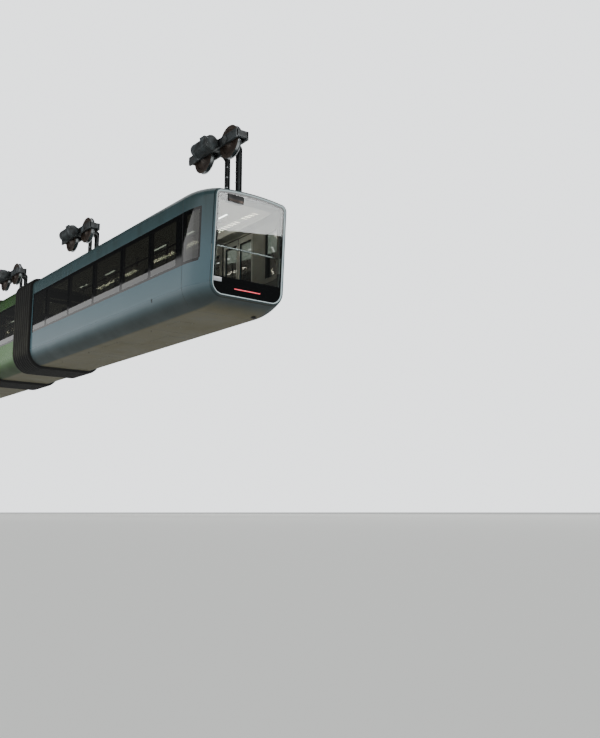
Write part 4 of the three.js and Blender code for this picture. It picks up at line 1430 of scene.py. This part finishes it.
def roof_unit(name, toward):
    middle = from_end(toward, UNIT_S)
    housing = block((middle - UNIT_HALF, -UNIT_SIDE, ROOF_Z - 0.02),
                    (middle + UNIT_HALF, UNIT_SIDE, UNIT_TOP), 0.045, 4)
    for x in (middle - FAN_SHIFT, middle + FAN_SHIFT):
        cutter = bar((x, 0, -1.02), (x, 0, -0.7), FAN_RADIUS, 40, 0)
        only(housing)
        bpy.ops.object.modifier_add(type="BOOLEAN")
        housing.modifiers[-1].object = cutter
        housing.modifiers[-1].operation = "DIFFERENCE"
        bpy.ops.object.modifier_apply(modifier=housing.modifiers[-1].name)
        bpy.data.objects.remove(cutter)
    parts = [wear(POLYESTER)(smooth(housing, 32))]
    for x in (middle - FAN_SHIFT, middle + FAN_SHIFT):
        parts += fan_guard(x, 0, UNIT_TOP - 0.002)
    for side in (-1, 1):
        for x in (middle - FAN_SHIFT, middle, middle + FAN_SHIFT):
            slat = block((x - 0.2, -0.004, -0.012), (x + 0.2, 0.004, 0.012), 0.002, 1, ALUMINIUM)
            placed(slat, (0, side * 0.622, -1.02), (side * math.radians(-35), 0, 0))
            parts.append(repeated(slat, 6, (0, 0, 0.024)))
            frame_low, frame_high = (x - 0.215, side * 0.612, -1.045), (x + 0.215, side * 0.622, -0.885)
            parts.append(block(frame_low, frame_high, 0.003, 1, CASING))
    lid = block((middle - 0.33, -0.5, -0.858), (middle + 0.33, 0.5, -0.843), 0.006, 2, POLYESTER)
    parts.append(lid)
    parts.append(bolts([(middle + u, v, -0.843) for u in (-0.3, 0, 0.3) for v in (-0.46, 0.46)], "Z",
                       0.008, ZINC))
    return joined(name, parts)


for end, toward in ENDS.items():
    body = f"{end}_section"
    unit = roof_unit(f"{end}_air_conditioner", toward)
    fitted(unit, body, "roof_grey", f"{end}_roof_unit")
    parts = []
    for s in PIVOTS:
        x = from_end(toward, s)
        ring = [(0.275, -1.1), (0.4, -1.1), (0.4, -1.02), (0.392, -1.014), (0.31, -1.012), (0.3, -1.0),
                (0.292, -0.99), (0.275, -0.99)]
        parts.append(smooth(turned(ring, (x, 0, 0), "Z", 56, STEEL), 30))
        parts.append(bolts(ring_of(14, 0.352, (x, 0, -1.013)), "Z", 0.013, ZINC))
    for y in (-0.34, 0.34):
        for s0, s1 in ((1.95, 4.25), (6.35, 8.6)):
            z = roof_line(y) + SKIN
            ends = (from_end(toward, s0), from_end(toward, s1))
            parts.append(block((ends[0], y - 0.07, z - 0.01), (ends[1], y + 0.07, z + 0.055), 0.012, 3,
                               POLYESTER))
            clamps = [toward * (HALF_LENGTH - s0 - 0.25 - 0.58 * i) for i in range(4)]
            parts += [block((cx - 0.02, y - 0.078, z - 0.01), (cx + 0.02, y + 0.078, z + 0.06), 0.003, 1,
                            ZINC) for cx in clamps]
    for y in (-0.72, 0.72):
        z = roof_line(y) + SKIN
        ends = (from_end(toward, 1.3), from_end(toward, 9.5))
        parts.append(block((ends[0], y - 0.09, z - 0.012), (ends[1], y + 0.09, z + 0.006), 0.003, 1,
                           SEAL))
    roof_parts = fitted(joined(f"{end}_roof_fittings", parts), body, "roof_grey")
    print(end, "roof triangles", triangles(unit) + triangles(roof_parts))

# %% [markdown]
# Inside, the ceiling has panels with three rows of small diodes, and short opal light strips over
# the aisle. A spot is a tiny turned lens; an array modifier repeats it along and across.

# %% Ceiling lights
# Each panel: distance of its first spot from the middle of the car, and spots in a row.
SPOT_PANELS = [(3.03, 9), (4.47, 8), (6.43, 9), (8.1, 5), (9.5, 8), (10.78, 4)]
SPOT_STEP = 0.14
STRIPS = [(2.8, 3.3), (4.5, 5.15), (7.42, 8.03), (8.9, 9.35), (10.3, 10.8)]


def light_strip(x0, x1):
    low, high = sorted((x0, x1))
    frame_bar = block((low - 0.02, -0.19, CEILING_Z - 0.012), (high + 0.02, -0.11, CEILING_Z + 0.004),
                      0.004, 2, ALUMINIUM)
    lens = block((low, -0.172, CEILING_Z - 0.018), (high, -0.128, CEILING_Z - 0.006), 0.005, 2,
                 LIGHT_STRIP)
    return [frame_bar, lens]


for end, toward in ENDS.items():
    panels, parts = [], []
    for first, count in SPOT_PANELS:
        for y in (-0.69, 0.6):
            spot = turned([(0, 0.002), (0.013, 0.002), (0.013, -0.004), (0.008, -0.007), (0, -0.0075)],
                          (toward * first, y, CEILING_Z), "Z", 8, DIODE)
            repeated(spot, count, (toward * SPOT_STEP, 0, 0))
            panels.append(repeated(spot, 3, (0, 0.055, 0)))
            low, high = sorted((toward * (first - 0.09),
                                toward * (first + SPOT_STEP * (count - 1) + 0.09)))
            parts.append(block((low, y - 0.06, CEILING_Z - 0.003), (high, y + 0.15, CEILING_Z + 0.01),
                               0.002, 2, LAMINATE))
    spots = joined(f"{end}_ceiling_spots", panels)
    fitted(spots, f"{end}_section", "white_lamp")
    for x0, x1 in STRIPS:
        parts += light_strip(toward * x0, toward * x1)
    fitted(joined(f"{end}_ceiling_panels", parts), f"{end}_section", "cab_grey")
    print(end, "ceiling spots", sum(3 * count for _, count in SPOT_PANELS) * 2)
fitted(joined("middle_ceiling_panels", light_strip(0.5, 0.9) + light_strip(-0.9, -0.5)), "middle_section",
       "cab_grey")

# %% [markdown]
# Grab rails are stainless tube, 38 mm across, with cast clamps where a post meets the rail and
# flanges at floor and ceiling. The bar across the rear window is the same tube between two brackets.

# %% Grab rails
POSTS = [1.75, 2.3, 3.9, 5.5, 6.8, 7.5, 8.9]
RAIL_Y, RAIL_Z = -0.12, CEILING_Z - 0.13
for end, toward in ENDS.items():
    start, stop = [(from_end(toward, s), RAIL_Y, RAIL_Z) for s in (1.4, 9.2)]
    parts = [smooth(bar(start, stop, 0.019, 24, 0.003), 40)]
    wear(TUBE)(parts[0])
    for s in POSTS:
        x = from_end(toward, s)
        parts.append(wear(TUBE)(smooth(bar((x, RAIL_Y, FLOOR_Z), (x, RAIL_Y, CEILING_Z), 0.0185, 24, 0),
                                       40)))
        flange = [(0.018, 0.0), (0.045, 0.0), (0.046, 0.004), (0.03, 0.008), (0.022, 0.03), (0.018, 0.03)]
        parts.append(turned(flange, (x, RAIL_Y, FLOOR_Z), "Z", 28, ALUMINIUM))
        parts.append(turned(flange, (x, RAIL_Y, CEILING_Z), "-Z", 28, ALUMINIUM))
        clamp = [(0.0185, -0.034), (0.024, -0.034), (0.027, -0.026), (0.027, 0.026), (0.024, 0.034),
                 (0.0185, 0.034)]
        parts.append(turned(clamp, (x, RAIL_Y, RAIL_Z), "Z", 24, ALUMINIUM))
        parts.append(turned(clamp, (x, RAIL_Y, RAIL_Z), "X", 24, ALUMINIUM))
    fitted(joined(f"{end}_grab_rails", parts), f"{end}_section", "rail_steel", f"{end}_grab_rail")
BAR_S, BAR_Z = 0.19, -2.368
bar_x = along(-1, BAR_S, BAR_Z)
bar_half = HALF_WIDTH - END_NARROWER * pull(BAR_S) - 0.075
parts = [wear(TUBE)(smooth(bar((bar_x, -bar_half, BAR_Z), (bar_x, bar_half, BAR_Z), 0.018, 24, 0.002),
                           40))]
for side, axis in ((-1, "Y"), (1, "-Y")):
    cup = [(0, -0.004), (0.04, -0.004), (0.042, 0.002), (0.028, 0.01), (0.024, 0.035), (0.0, 0.035)]
    parts.append(turned(cup, (bar_x, side * (bar_half - 0.001), BAR_Z), axis, 28, ALUMINIUM))
fitted(joined("rear_window_grab_bar", parts), "rear_section", "rail_steel", "rear_grab_bar")
print("grab rails 3")

# %% [markdown]
# A seat cushion is foam in a sewn moquette cover. Its shape comes from cloth: a rounded block a
# little smaller than the pad is remeshed into even quads, and Cloth with inner pressure swells it
# while its weave resists, so the faces crown and the corners stay drawn in. No point may move far,
# and the side that lies on the shell stays flat.

# %% Cushions by cloth
PAD_FILL, PAD_VOXEL, PAD_SWELL, PAD_TRIM = 0.8, 0.0125, 0.012, 0.007
SEAM_PLACE, SEAM_WIDTH, SEAM_DEPTH = 0.86, 0.035, 0.004


def pad(name, size, flat_axis):
    """A padded block about the origin; its low side along flat_axis rests on the shell."""
    half = [s / 2 - PAD_TRIM for s in size]
    obj = block([-h for h in half], half, min(size) * 0.28, 4)
    obj.name = obj.data.name = name
    apply(obj, "REMESH", mode="VOXEL", voxel_size=PAD_VOXEL)
    apply(obj, "SMOOTH", factor=0.5, iterations=3)
    before = [vertex.co.copy() for vertex in obj.data.vertices]
    only(obj)
    bpy.ops.object.modifier_add(type="CLOTH")
    cloth = obj.modifiers[-1]
    cloth.settings.quality = 5
    cloth.settings.use_pressure = True
    cloth.settings.uniform_pressure_force = 4
    cloth.settings.effector_weights.gravity = 0
    for frame_number in range(1, 21):
        bpy.context.scene.frame_set(frame_number)
    bpy.ops.object.modifier_apply(modifier=cloth.name)
    bpy.context.scene.frame_set(1)
    for vertex, start in zip(obj.data.vertices, before):
        move = vertex.co - start
        if move.length > PAD_SWELL:
            vertex.co = start + move * (PAD_SWELL / move.length)
        vertex.co[flat_axis] = max(vertex.co[flat_axis], -size[flat_axis] / 2)
        edge = [abs(vertex.co[i]) / (size[i] / 2) for i in range(3) if i != flat_axis]
        seam = math.exp(-((max(edge) - SEAM_PLACE) / SEAM_WIDTH) ** 2)
        if vertex.co[flat_axis] > 0:
            vertex.co[flat_axis] -= SEAM_DEPTH * seam
    wear(MOQUETTE)(obj)
    return smooth(obj, 80, weighted=False)


SEAT_PAD = pad("pattern_seat_pad", (0.44, 0.42, 0.09), 2)
BACK_PAD = pad("pattern_back_pad", (0.06, 0.42, 0.5), 0)
print("pads", len(SEAT_PAD.data.polygons), len(BACK_PAD.data.polygons), "quads")

# %% [markdown]
# The seats stand in pairs on one leg each and on a rail along the left wall. Each seat is a moulded
# shell with its two pads, and a hand hold of bent tube on the aisle side of the backrest.

# %% Seats
SEAT_PLACES = [1.7, 3.13, 4.73, 6.33, 7.93]
SEAT_MIDDLES = [0.335, 0.785]


def seat_shells(x):
    parts = []
    for y in SEAT_MIDDLES:
        low, high = y - 0.215, y + 0.215
        pan = block((x - 0.225, low, FLOOR_Z + 0.362), (x + 0.225, high, FLOOR_Z + 0.385), 0.01, 3, SHELL)
        rounded = [(low, FLOOR_Z + 0.38), (high, FLOOR_Z + 0.38), (high, FLOOR_Z + 0.93),
                   (high - 0.02, FLOOR_Z + 0.98), (high - 0.06, FLOOR_Z + 1.0),
                   (low + 0.06, FLOOR_Z + 1.0), (low + 0.02, FLOOR_Z + 0.98), (low, FLOOR_Z + 0.93)]
        back = plate(rounded, 0.016, "X", x - 0.24, 0.005, SHELL)
        parts += [pan, back]
    hold = [(x - 0.232, 0.13, FLOOR_Z + 0.78), (x - 0.245, 0.095, FLOOR_Z + 0.82),
            (x - 0.245, 0.095, FLOOR_Z + 0.96), (x - 0.235, 0.14, FLOOR_Z + 1.01),
            (x - 0.235, 0.24, FLOOR_Z + 1.01), (x - 0.235, 0.27, FLOOR_Z + 0.98)]
    parts += conduit(hold, 0.012, TUBE)
    leg = block((x - 0.05, 0.31, FLOOR_Z), (x + 0.05, 0.41, FLOOR_Z + 0.36), 0.014, 3, SHELL)
    foot = block((x - 0.085, 0.27, FLOOR_Z), (x + 0.085, 0.45, FLOOR_Z + 0.012), 0.004, 2, ALUMINIUM)
    beam = block((x - 0.05, 0.14, FLOOR_Z + 0.325), (x + 0.05, 1.0, FLOOR_Z + 0.365), 0.008, 2, SHELL)
    parts += [leg, foot, beam]
    parts.append(bolts([(x + u, v, FLOOR_Z + 0.012) for u in (-0.065, 0.065) for v in (0.29, 0.43)], "Z",
                       0.008, ZINC))
    return parts


for end, toward in ENDS.items():
    body = f"{end}_section"
    parts = []
    for number, s in enumerate(SEAT_PLACES, 1):
        x = from_end(toward, s)
        parts += seat_shells(x)
        for side, y in zip(("aisle", "window"), SEAT_MIDDLES):
            for what, pattern, place in (("seat", SEAT_PAD, (x + 0.005, y, FLOOR_Z + 0.43)),
                                         ("back", BACK_PAD, (x - 0.194, y, FLOOR_Z + 0.735))):
                cushion = copied(pattern, place, f"{end}_{what}_pad_{number}_{side}")
                fitted(cushion, body, "seat_fabric")
    ends = (from_end(toward, 1.5), from_end(toward, 8.3))
    parts.append(block((ends[0], 0.95, FLOOR_Z + 0.285), (ends[1], 1.0, FLOOR_Z + 0.38), 0.01, 3, SHELL))
    fitted(joined(f"{end}_seat_shells", parts), body, "seat_fabric", f"{end}_seats")
print("seat pads", 4 * len(SEAT_PLACES) * len(ENDS))

# %% [markdown]
# The driver's cab lies behind the front window: a partition with a glazed door, a desk with
# three dark screens, switches and a master controller, and a sprung seat. The screens are blank.

# %% Driver's cab
def cab_x(s):
    return from_end(1, s)


def cab_desk():
    top = [(cab_x(0.7), -2.7), (cab_x(0.7), -2.735), (cab_x(0.66), -2.78), (cab_x(0.62), FLOOR_Z),
           (cab_x(0.2), FLOOR_Z), (cab_x(0.2), -2.575), (cab_x(0.22), -2.56), (cab_x(0.43), -2.56),
           (cab_x(0.47), -2.58), (cab_x(0.5), -2.69)]
    parts = [plate(top, 1.5, "Y", -0.75, 0.012, CAB)]
    for y in (-0.42, 0.0, 0.42):
        bezel = block((-0.008, y - 0.17, -0.075), (0.004, y + 0.17, 0.075), 0.006, 2, CASING)
        face = block((-0.0105, y - 0.15, -0.058), (-0.006, y + 0.15, 0.058), 0.002, 1, SCREEN)
        for piece in (bezel, face):
            parts.append(placed(piece, (cab_x(0.487), 0, -2.635), (0, math.radians(15), 0)))
    lever = [(0, -0.004), (0.034, -0.004), (0.036, 0.006), (0.02, 0.012), (0.009, 0.02), (0.008, 0.075),
             (0.018, 0.082), (0.024, 0.1), (0.02, 0.118), (0, 0.124)]
    for y in (-0.3, 0.3):
        parts.append(smooth(turned(lever, (cab_x(0.61), y, -2.702), "Z", 24, CASING), 40))
    button = turned([(0, -0.002), (0.011, -0.002), (0.011, 0.005), (0.009, 0.008), (0, 0.008)], axis="Z",
                    steps=12, finish=ALUMINIUM)
    for i in range(8):
        for j in range(2):
            parts.append(copied(button, (cab_x(0.57 + 0.05 * j), -0.14 + 0.04 * i, -2.7)))
    bpy.data.objects.remove(button)
    for y in (-0.12, 0.12):
        pedal = block((-0.06, y - 0.05, -0.006), (0.06, y + 0.05, 0.006), 0.003, 2, SEAL)
        placed(pedal, (cab_x(0.75), 0, FLOOR_Z + 0.06), (0, math.radians(-25), 0))
        rod = bar((cab_x(0.7), y, FLOOR_Z + 0.04), (cab_x(0.62), y, FLOOR_Z + 0.08), 0.01, 12, 0, ZINC)
        parts += [pedal, rod]
    return joined("driver_console", parts)


fitted(cab_desk(), "front_section", "cab_grey", "driver_desk")


def cab_screen():
    """Handles, seals and glazing of the partition, whose panel is the frame's own solid."""
    parts = [block((cab_x(1.145), -0.905, -2.505), (cab_x(1.137), 0.905, -1.445), 0.002, 1, CLEAR_GLASS)]
    for face in (cab_x(1.163), cab_x(1.117)):
        low, high = sorted((face, face + (0.006 if face < cab_x(1.14) else -0.006)))
        for y0, y1, z0, z1 in ((-0.93, 0.93, -2.53, -2.495), (-0.93, 0.93, -1.455, -1.42),
                               (-0.93, -0.895, -2.53, -1.42), (0.895, 0.93, -2.53, -1.42),
                               (-0.012, 0.012, -3.25, -1.3)):
            parts.append(block((low, y0, z0), (high, y1, z1), 0.002, 1, SEAL))
        handle_x = high + 0.03 if face > cab_x(1.14) else high
        parts.append(block((low, 0.06, -2.58), (handle_x, 0.1, -2.42), 0.008, 2, ALUMINIUM))
    return joined("cab_glazing_and_handle", parts)


fitted(cab_screen(), "front_section", "cab_grey")

parts = []
x = cab_x(0.96)
base = [(0, 0), (0.19, 0), (0.2, 0.012), (0.16, 0.03), (0.06, 0.05), (0.055, 0.1)]
for i in range(6):
    base += [(0.11, 0.11 + 0.04 * i), (0.085, 0.13 + 0.04 * i)]
base += [(0.11, 0.36), (0.12, 0.4), (0, 0.4)]
parts.append(smooth(turned(base, (x, 0, FLOOR_Z), "Z", 40, SEAL), 30))
parts.append(block((cab_x(1.08), -0.23, -2.9), (cab_x(0.81), 0.23, -2.875), 0.01, 3, SHELL))
parts.append(plate([(-0.21, -2.86), (0.21, -2.86), (0.215, -2.3), (0.17, -2.19), (-0.17, -2.19),
                    (-0.215, -2.3)], 0.02, "X", cab_x(1.105), 0.006, SHELL))
for y in (-0.245, 0.245):
    parts.append(block((cab_x(1.08), y - 0.022, -2.66), (cab_x(0.84), y + 0.022, -2.625), 0.012, 3, CAB))
    parts.append(bar((cab_x(1.07), y, -2.64), (cab_x(1.07), y * 0.9, -2.86), 0.011, 14, 0, ZINC))
fitted(joined("driver_seat_frame", parts), "front_section", "seat_fabric", "driver_seat")
for name, pattern, scale, place in (
        ("driver_seat_pad", SEAT_PAD, (0.6, 1.05, 0.9), (cab_x(0.945), 0, -2.836)),
        ("driver_back_pad", BACK_PAD, (0.95, 0.95, 1.1), (cab_x(1.056), 0, -2.49))):
    cushion = placed(copied(pattern, (0, 0, 0), name), place, scale=scale)
    fitted(cushion, "front_section", "seat_fabric")
for pattern in (SEAT_PAD, BACK_PAD):
    bpy.data.objects.remove(pattern)
print("cab fitted")

# %% [markdown]
# At the top of each end window is a display in a black casing; its face is blank. The rear one is
# let into the glass and lies level with it, and the front one hangs behind the glass. In front,
# two wipers are parked on the apron, each an arm with a spring cover and a rubber blade.

# %% Displays and wipers
for end, toward in ENDS.items():
    y0, y1 = (0.215, 0.605) if end == "rear" else (-0.42, 0.42)
    face = HALF_LENGTH - (0.012 if end == "rear" else 0.05)
    x1 = from_end(toward, 0.16)
    parts = [block((toward * face, y0, -1.43), (x1, y1, -1.275), 0.005, 3, CASING)]
    for low, high, finish in ((-1.368, -1.285, SEAL), (-1.422, -1.376, OXIDE)):
        parts.append(block((toward * (face + 0.0008), y0 + 0.012, low),
                           (toward * (face - 0.002), y1 - 0.012, high), 0.0006, 1, finish))
    for y in (y0 + 0.04, y1 - 0.04):
        parts.append(block((from_end(toward, 0.08), y - 0.012, -1.27),
                           (from_end(toward, 0.13), y + 0.012, -1.2), 0.003, 1, ZINC))
    fitted(joined(f"{end}_display_box", parts), f"{end}_section", "cab_grey")


def glass_x(z, off):
    """X at a distance in front of the front window, whose glass leans."""
    return along(1, 0.02, z) + off


parts = []
for y in (-0.56, 0.2):
    foot = (glass_x(-3.14, 0.008), y, -3.14)
    tip = (glass_x(-2.92, 0.02), y + 0.34, -2.92)
    parts.append(turned([(0, -0.004), (0.026, -0.004), (0.028, 0.008), (0.016, 0.014), (0, 0.015)], foot,
                        "X", 24, CASING))
    parts.append(bar((foot[0] + 0.006, y, -3.14), tip, 0.010, 12, 0.001, CASING))
    low_x, high_x = glass_x(-3.13, 0.007), glass_x(-2.71, 0.007)
    for shift, radius, sides, finish in ((-0.002, 0.005, 8, SEAL), (0.004, 0.008, 10, CASING)):
        parts.append(bar((low_x + shift, tip[1] - 0.3, -3.13), (high_x + shift, tip[1] + 0.28, -2.72),
                         radius, sides, 0, finish))
fitted(joined("front_wipers", parts), "front_section", "cab_grey")
print("displays 2, wipers 2")

# %% [markdown]
# Underneath, the skin is smooth, with the joints of its panels, flush lids held by quarter-turn
# screws, drain spigots and a dark towing eye under the chin, which stands out 34 mm. On the side a
# small cap closes the jacking point.

# %% Underside and side trim
EYE_S = 0.74
UNDER_Z = BASE_Z - SKIN
LIDS = [(2.4, 0.32, 0.3, 0.2), (4.1, -0.3, 0.45, 0.24), (5.6, 0.3, 0.45, 0.24), (7.4, -0.3, 0.3, 0.2)]
SCREW = [(0, -0.001), (0.009, -0.001), (0.009, 0.0008), (0.007, 0.0015), (0, 0.0012)]


def lid(x, y, half_length, half_width):
    """A flush lid with a screw near each corner."""
    low = UNDER_Z - 0.0025
    parts = [block((x - half_length, y - half_width, low),
                   (x + half_length, y + half_width, UNDER_Z + 0.004), 0.002, 2, BLUE_ENAMEL)]
    for u in (-1, 1):
        for v in (-1, 1):
            corner = (x + u * (half_length - 0.03), y + v * (half_width - 0.03), low)
            parts.append(turned(SCREW, corner, "-Z", 12, ZINC))
    return parts


for end, toward in ENDS.items():
    parts = []
    for s, y, half_length, half_width in LIDS:
        parts += lid(from_end(toward, s), y, half_length, half_width)
    for s in (3.2, 5.0, 6.7, 8.5):
        x = from_end(toward, s)
        parts.append(block((x - 0.006, -0.66, UNDER_Z - 0.001), (x + 0.006, 0.66, UNDER_Z + 0.003),
                           0.0008, 1, SEAL))
        parts.append(turned([(0, -0.012), (0.014, -0.012), (0.016, 0.0), (0, 0.0)],
                            (x + 0.2, 0.52, UNDER_Z), "Z", 20, SEAL))
    eye = turned([(0, -0.002), (0.062, -0.002), (0.064, 0.004), (0.054, 0.007), (0.05, 0.026),
                  (0.042, 0.034), (0.024, 0.034), (0.021, 0.012), (0, 0.010)], axis="-Z", steps=28,
                 finish=SEAL)
    slope = -toward * 2 * END_RAISED * (1 - EYE_S / SEAM) / SEAM
    eye_place = (along(toward, EYE_S, UNDER_Z), toward * 0.6, UNDER_Z + END_RAISED * pull(EYE_S) - 0.0005)
    parts.append(placed(eye, eye_place, (0, slope, 0)))
    for side, axis in ((1, "Y"), (-1, "-Y")):
        cap = turned([(0, -0.003), (0.03, -0.003), (0.032, 0.0008), (0.028, 0.0025), (0.01, 0.0012),
                      (0, 0.0012)], axis=axis, steps=28, finish=SEAL)
        tilt = (-side * math.radians(11), 0, 0)
        parts.append(placed(cap, (toward * 9.69, side * 1.0965, -3.21), tilt, (0.8, 1, 1.5)))
    fitted(joined(f"{end}_underside_fittings", parts), f"{end}_section", "blue_paint")
print("underside fittings 2")

# %% [markdown]
# The frame's own solids that still show get finishes too: the three hollow shells, the two end
# modules and the cab partition. Each takes the finish of its slot.

# %% Finishes of the frame's own pieces
SLOTS = {
    "blue_paint": LINING, "green_paint": LINING, "roof_grey": POLYESTER, "bogie_steel": STEEL,
    "motor_grey": MOTOR, "wheel_steel": OXIDE, "rail_steel": TUBE, "seat_fabric": MOQUETTE,
    "cab_grey": CAB, "red_lamp": RED_LENS, "white_lamp": CLEAR_LENS, "dark_glass": TINTED_GLASS,
    "rim_paint": RIM_ENAMEL, "clear_glass": CLEAR_GLASS, "bellows_rubber": CLOTH,
}
for row in frame["record"]["subparts"]:
    node = frame["nodes"][row["node"]]
    node.data.materials.clear()
    node.data.materials.append(SLOTS[row["material_slot"]])
print("nodes with a finish", len(frame["nodes"]))

# %% [markdown]
# The camera stands just above the floor, behind the car and to its left, where the photograph was
# taken. Its turn and focal length were found by fitting the car's known edges to the picture.

# %% Camera
EYE = Vector((-26.127, 9.75, -7.861))
YAW, PITCH = math.radians(-38.058), math.radians(9.654)
FOCAL_PIXELS, FRAME_HEIGHT = 840.81, 738
forward = Vector((math.cos(YAW) * math.cos(PITCH), math.sin(YAW) * math.cos(PITCH), math.sin(PITCH)))
right = Vector((math.sin(YAW), -math.cos(YAW), 0))
up = right.cross(forward)
bpy.ops.object.camera_add(location=EYE)
camera = bpy.context.object
camera.matrix_world = Matrix((
    (right.x, up.x, -forward.x, EYE.x),
    (right.y, up.y, -forward.y, EYE.y),
    (right.z, up.z, -forward.z, EYE.z),
    (0, 0, 0, 1),
))
camera.data.sensor_fit = "VERTICAL"
camera.data.sensor_height = 24
camera.data.lens = 24 * FOCAL_PIXELS / FRAME_HEIGHT
camera.data.clip_end = 500
bpy.context.scene.camera = camera

# %% [markdown]
# The floor is plain and pale, just below the camera. The room is a dim grey, so glossy sides and
# glass stay dark, as they are under an overcast sky with a dark ceiling overhead. Large softboxes
# do the rest. A long one low on the left lights the side and ends level with the lower edge of the
# windows, where its reflection gives them their pale strip; a dimmer one carries it on towards the
# rear corner. One behind the car puts a pale veil on the upper part of the end window, one hangs
# above, and one stands high on the right.

# %% Floor and light
FLOOR_LEVEL = EYE.z - 0.1
bpy.ops.mesh.primitive_plane_add(size=400, location=(0, 0, FLOOR_LEVEL))
floor = bpy.context.object
floor.name = "studio_floor"
FLOOR, tree, shader, place = new_finish("matt_studio_floor")
set_shader(shader, Base_Color=colour("#e6e6e2"), Roughness=1.0, Specular_IOR_Level=0.0)
wear(FLOOR)(floor)

world = bpy.data.worlds.new("studio_room")
bpy.context.scene.world = world
world.use_nodes = True
tree = world.node_tree
backdrop = tree.nodes["Background"]
height = add_node(tree, "ShaderNodeSeparateXYZ", {
    "Vector": add_node(tree, "ShaderNodeTexCoord").outputs["Generated"]})
falling = add_node(tree, "ShaderNodeMapRange", {
    "Value": height.outputs["Z"], "From Min": 0.0, "From Max": 0.3, "To Min": 0.2, "To Max": 0.045})
seen = add_node(tree, "ShaderNodeLightPath")
soft = add_node(tree, "ShaderNodeMix", {
    "Factor": seen.outputs["Is Diffuse Ray"], "A": falling, "B": 0.85})
level = add_node(tree, "ShaderNodeMix", {
    "Factor": seen.outputs["Is Camera Ray"], "A": soft, "B": 2.5})
set_shader(backdrop, Strength=level, Color=colour("#eef1f3"))

SOFTBOXES = {  # place, aim, width, height, watts
    "left_wall_softbox": ((10.9, 9, -1.4), (10.9, 0, -1.4), 30.2, 7.6, 790),
    "left_dim_softbox": ((-8.2, 9, -1.4), (-8.2, 0, -1.4), 8, 7.6, 170),
    "rear_softbox": ((-34.3, -14.6, 8.2), (-12, 0, -1.5), 14, 8.5, 2900),
    "overhead_softbox": ((0, 0, 14), (0, 0, 0), 26, 16, 1100),
    "right_softbox": ((4, -17, 9), (0, 0, -2.5), 20, 6, 1300),
}
for name, (place, aim, wide, high, watts) in SOFTBOXES.items():
    bpy.ops.object.light_add(type="AREA", location=place)
    lamp = bpy.context.object
    lamp.name = name
    lamp.data.shape = "RECTANGLE"
    lamp.data.size = wide
    lamp.data.size_y = high
    lamp.data.energy = watts
    lamp.visible_camera = False
    aim_line = Vector(aim) - Vector(place)
    lamp.rotation_euler = aim_line.to_track_quat("-Z", "Y").to_euler()
print("softboxes", len(SOFTBOXES))

# %% Finish
bpy.ops.object.select_all(action="DESELECT")
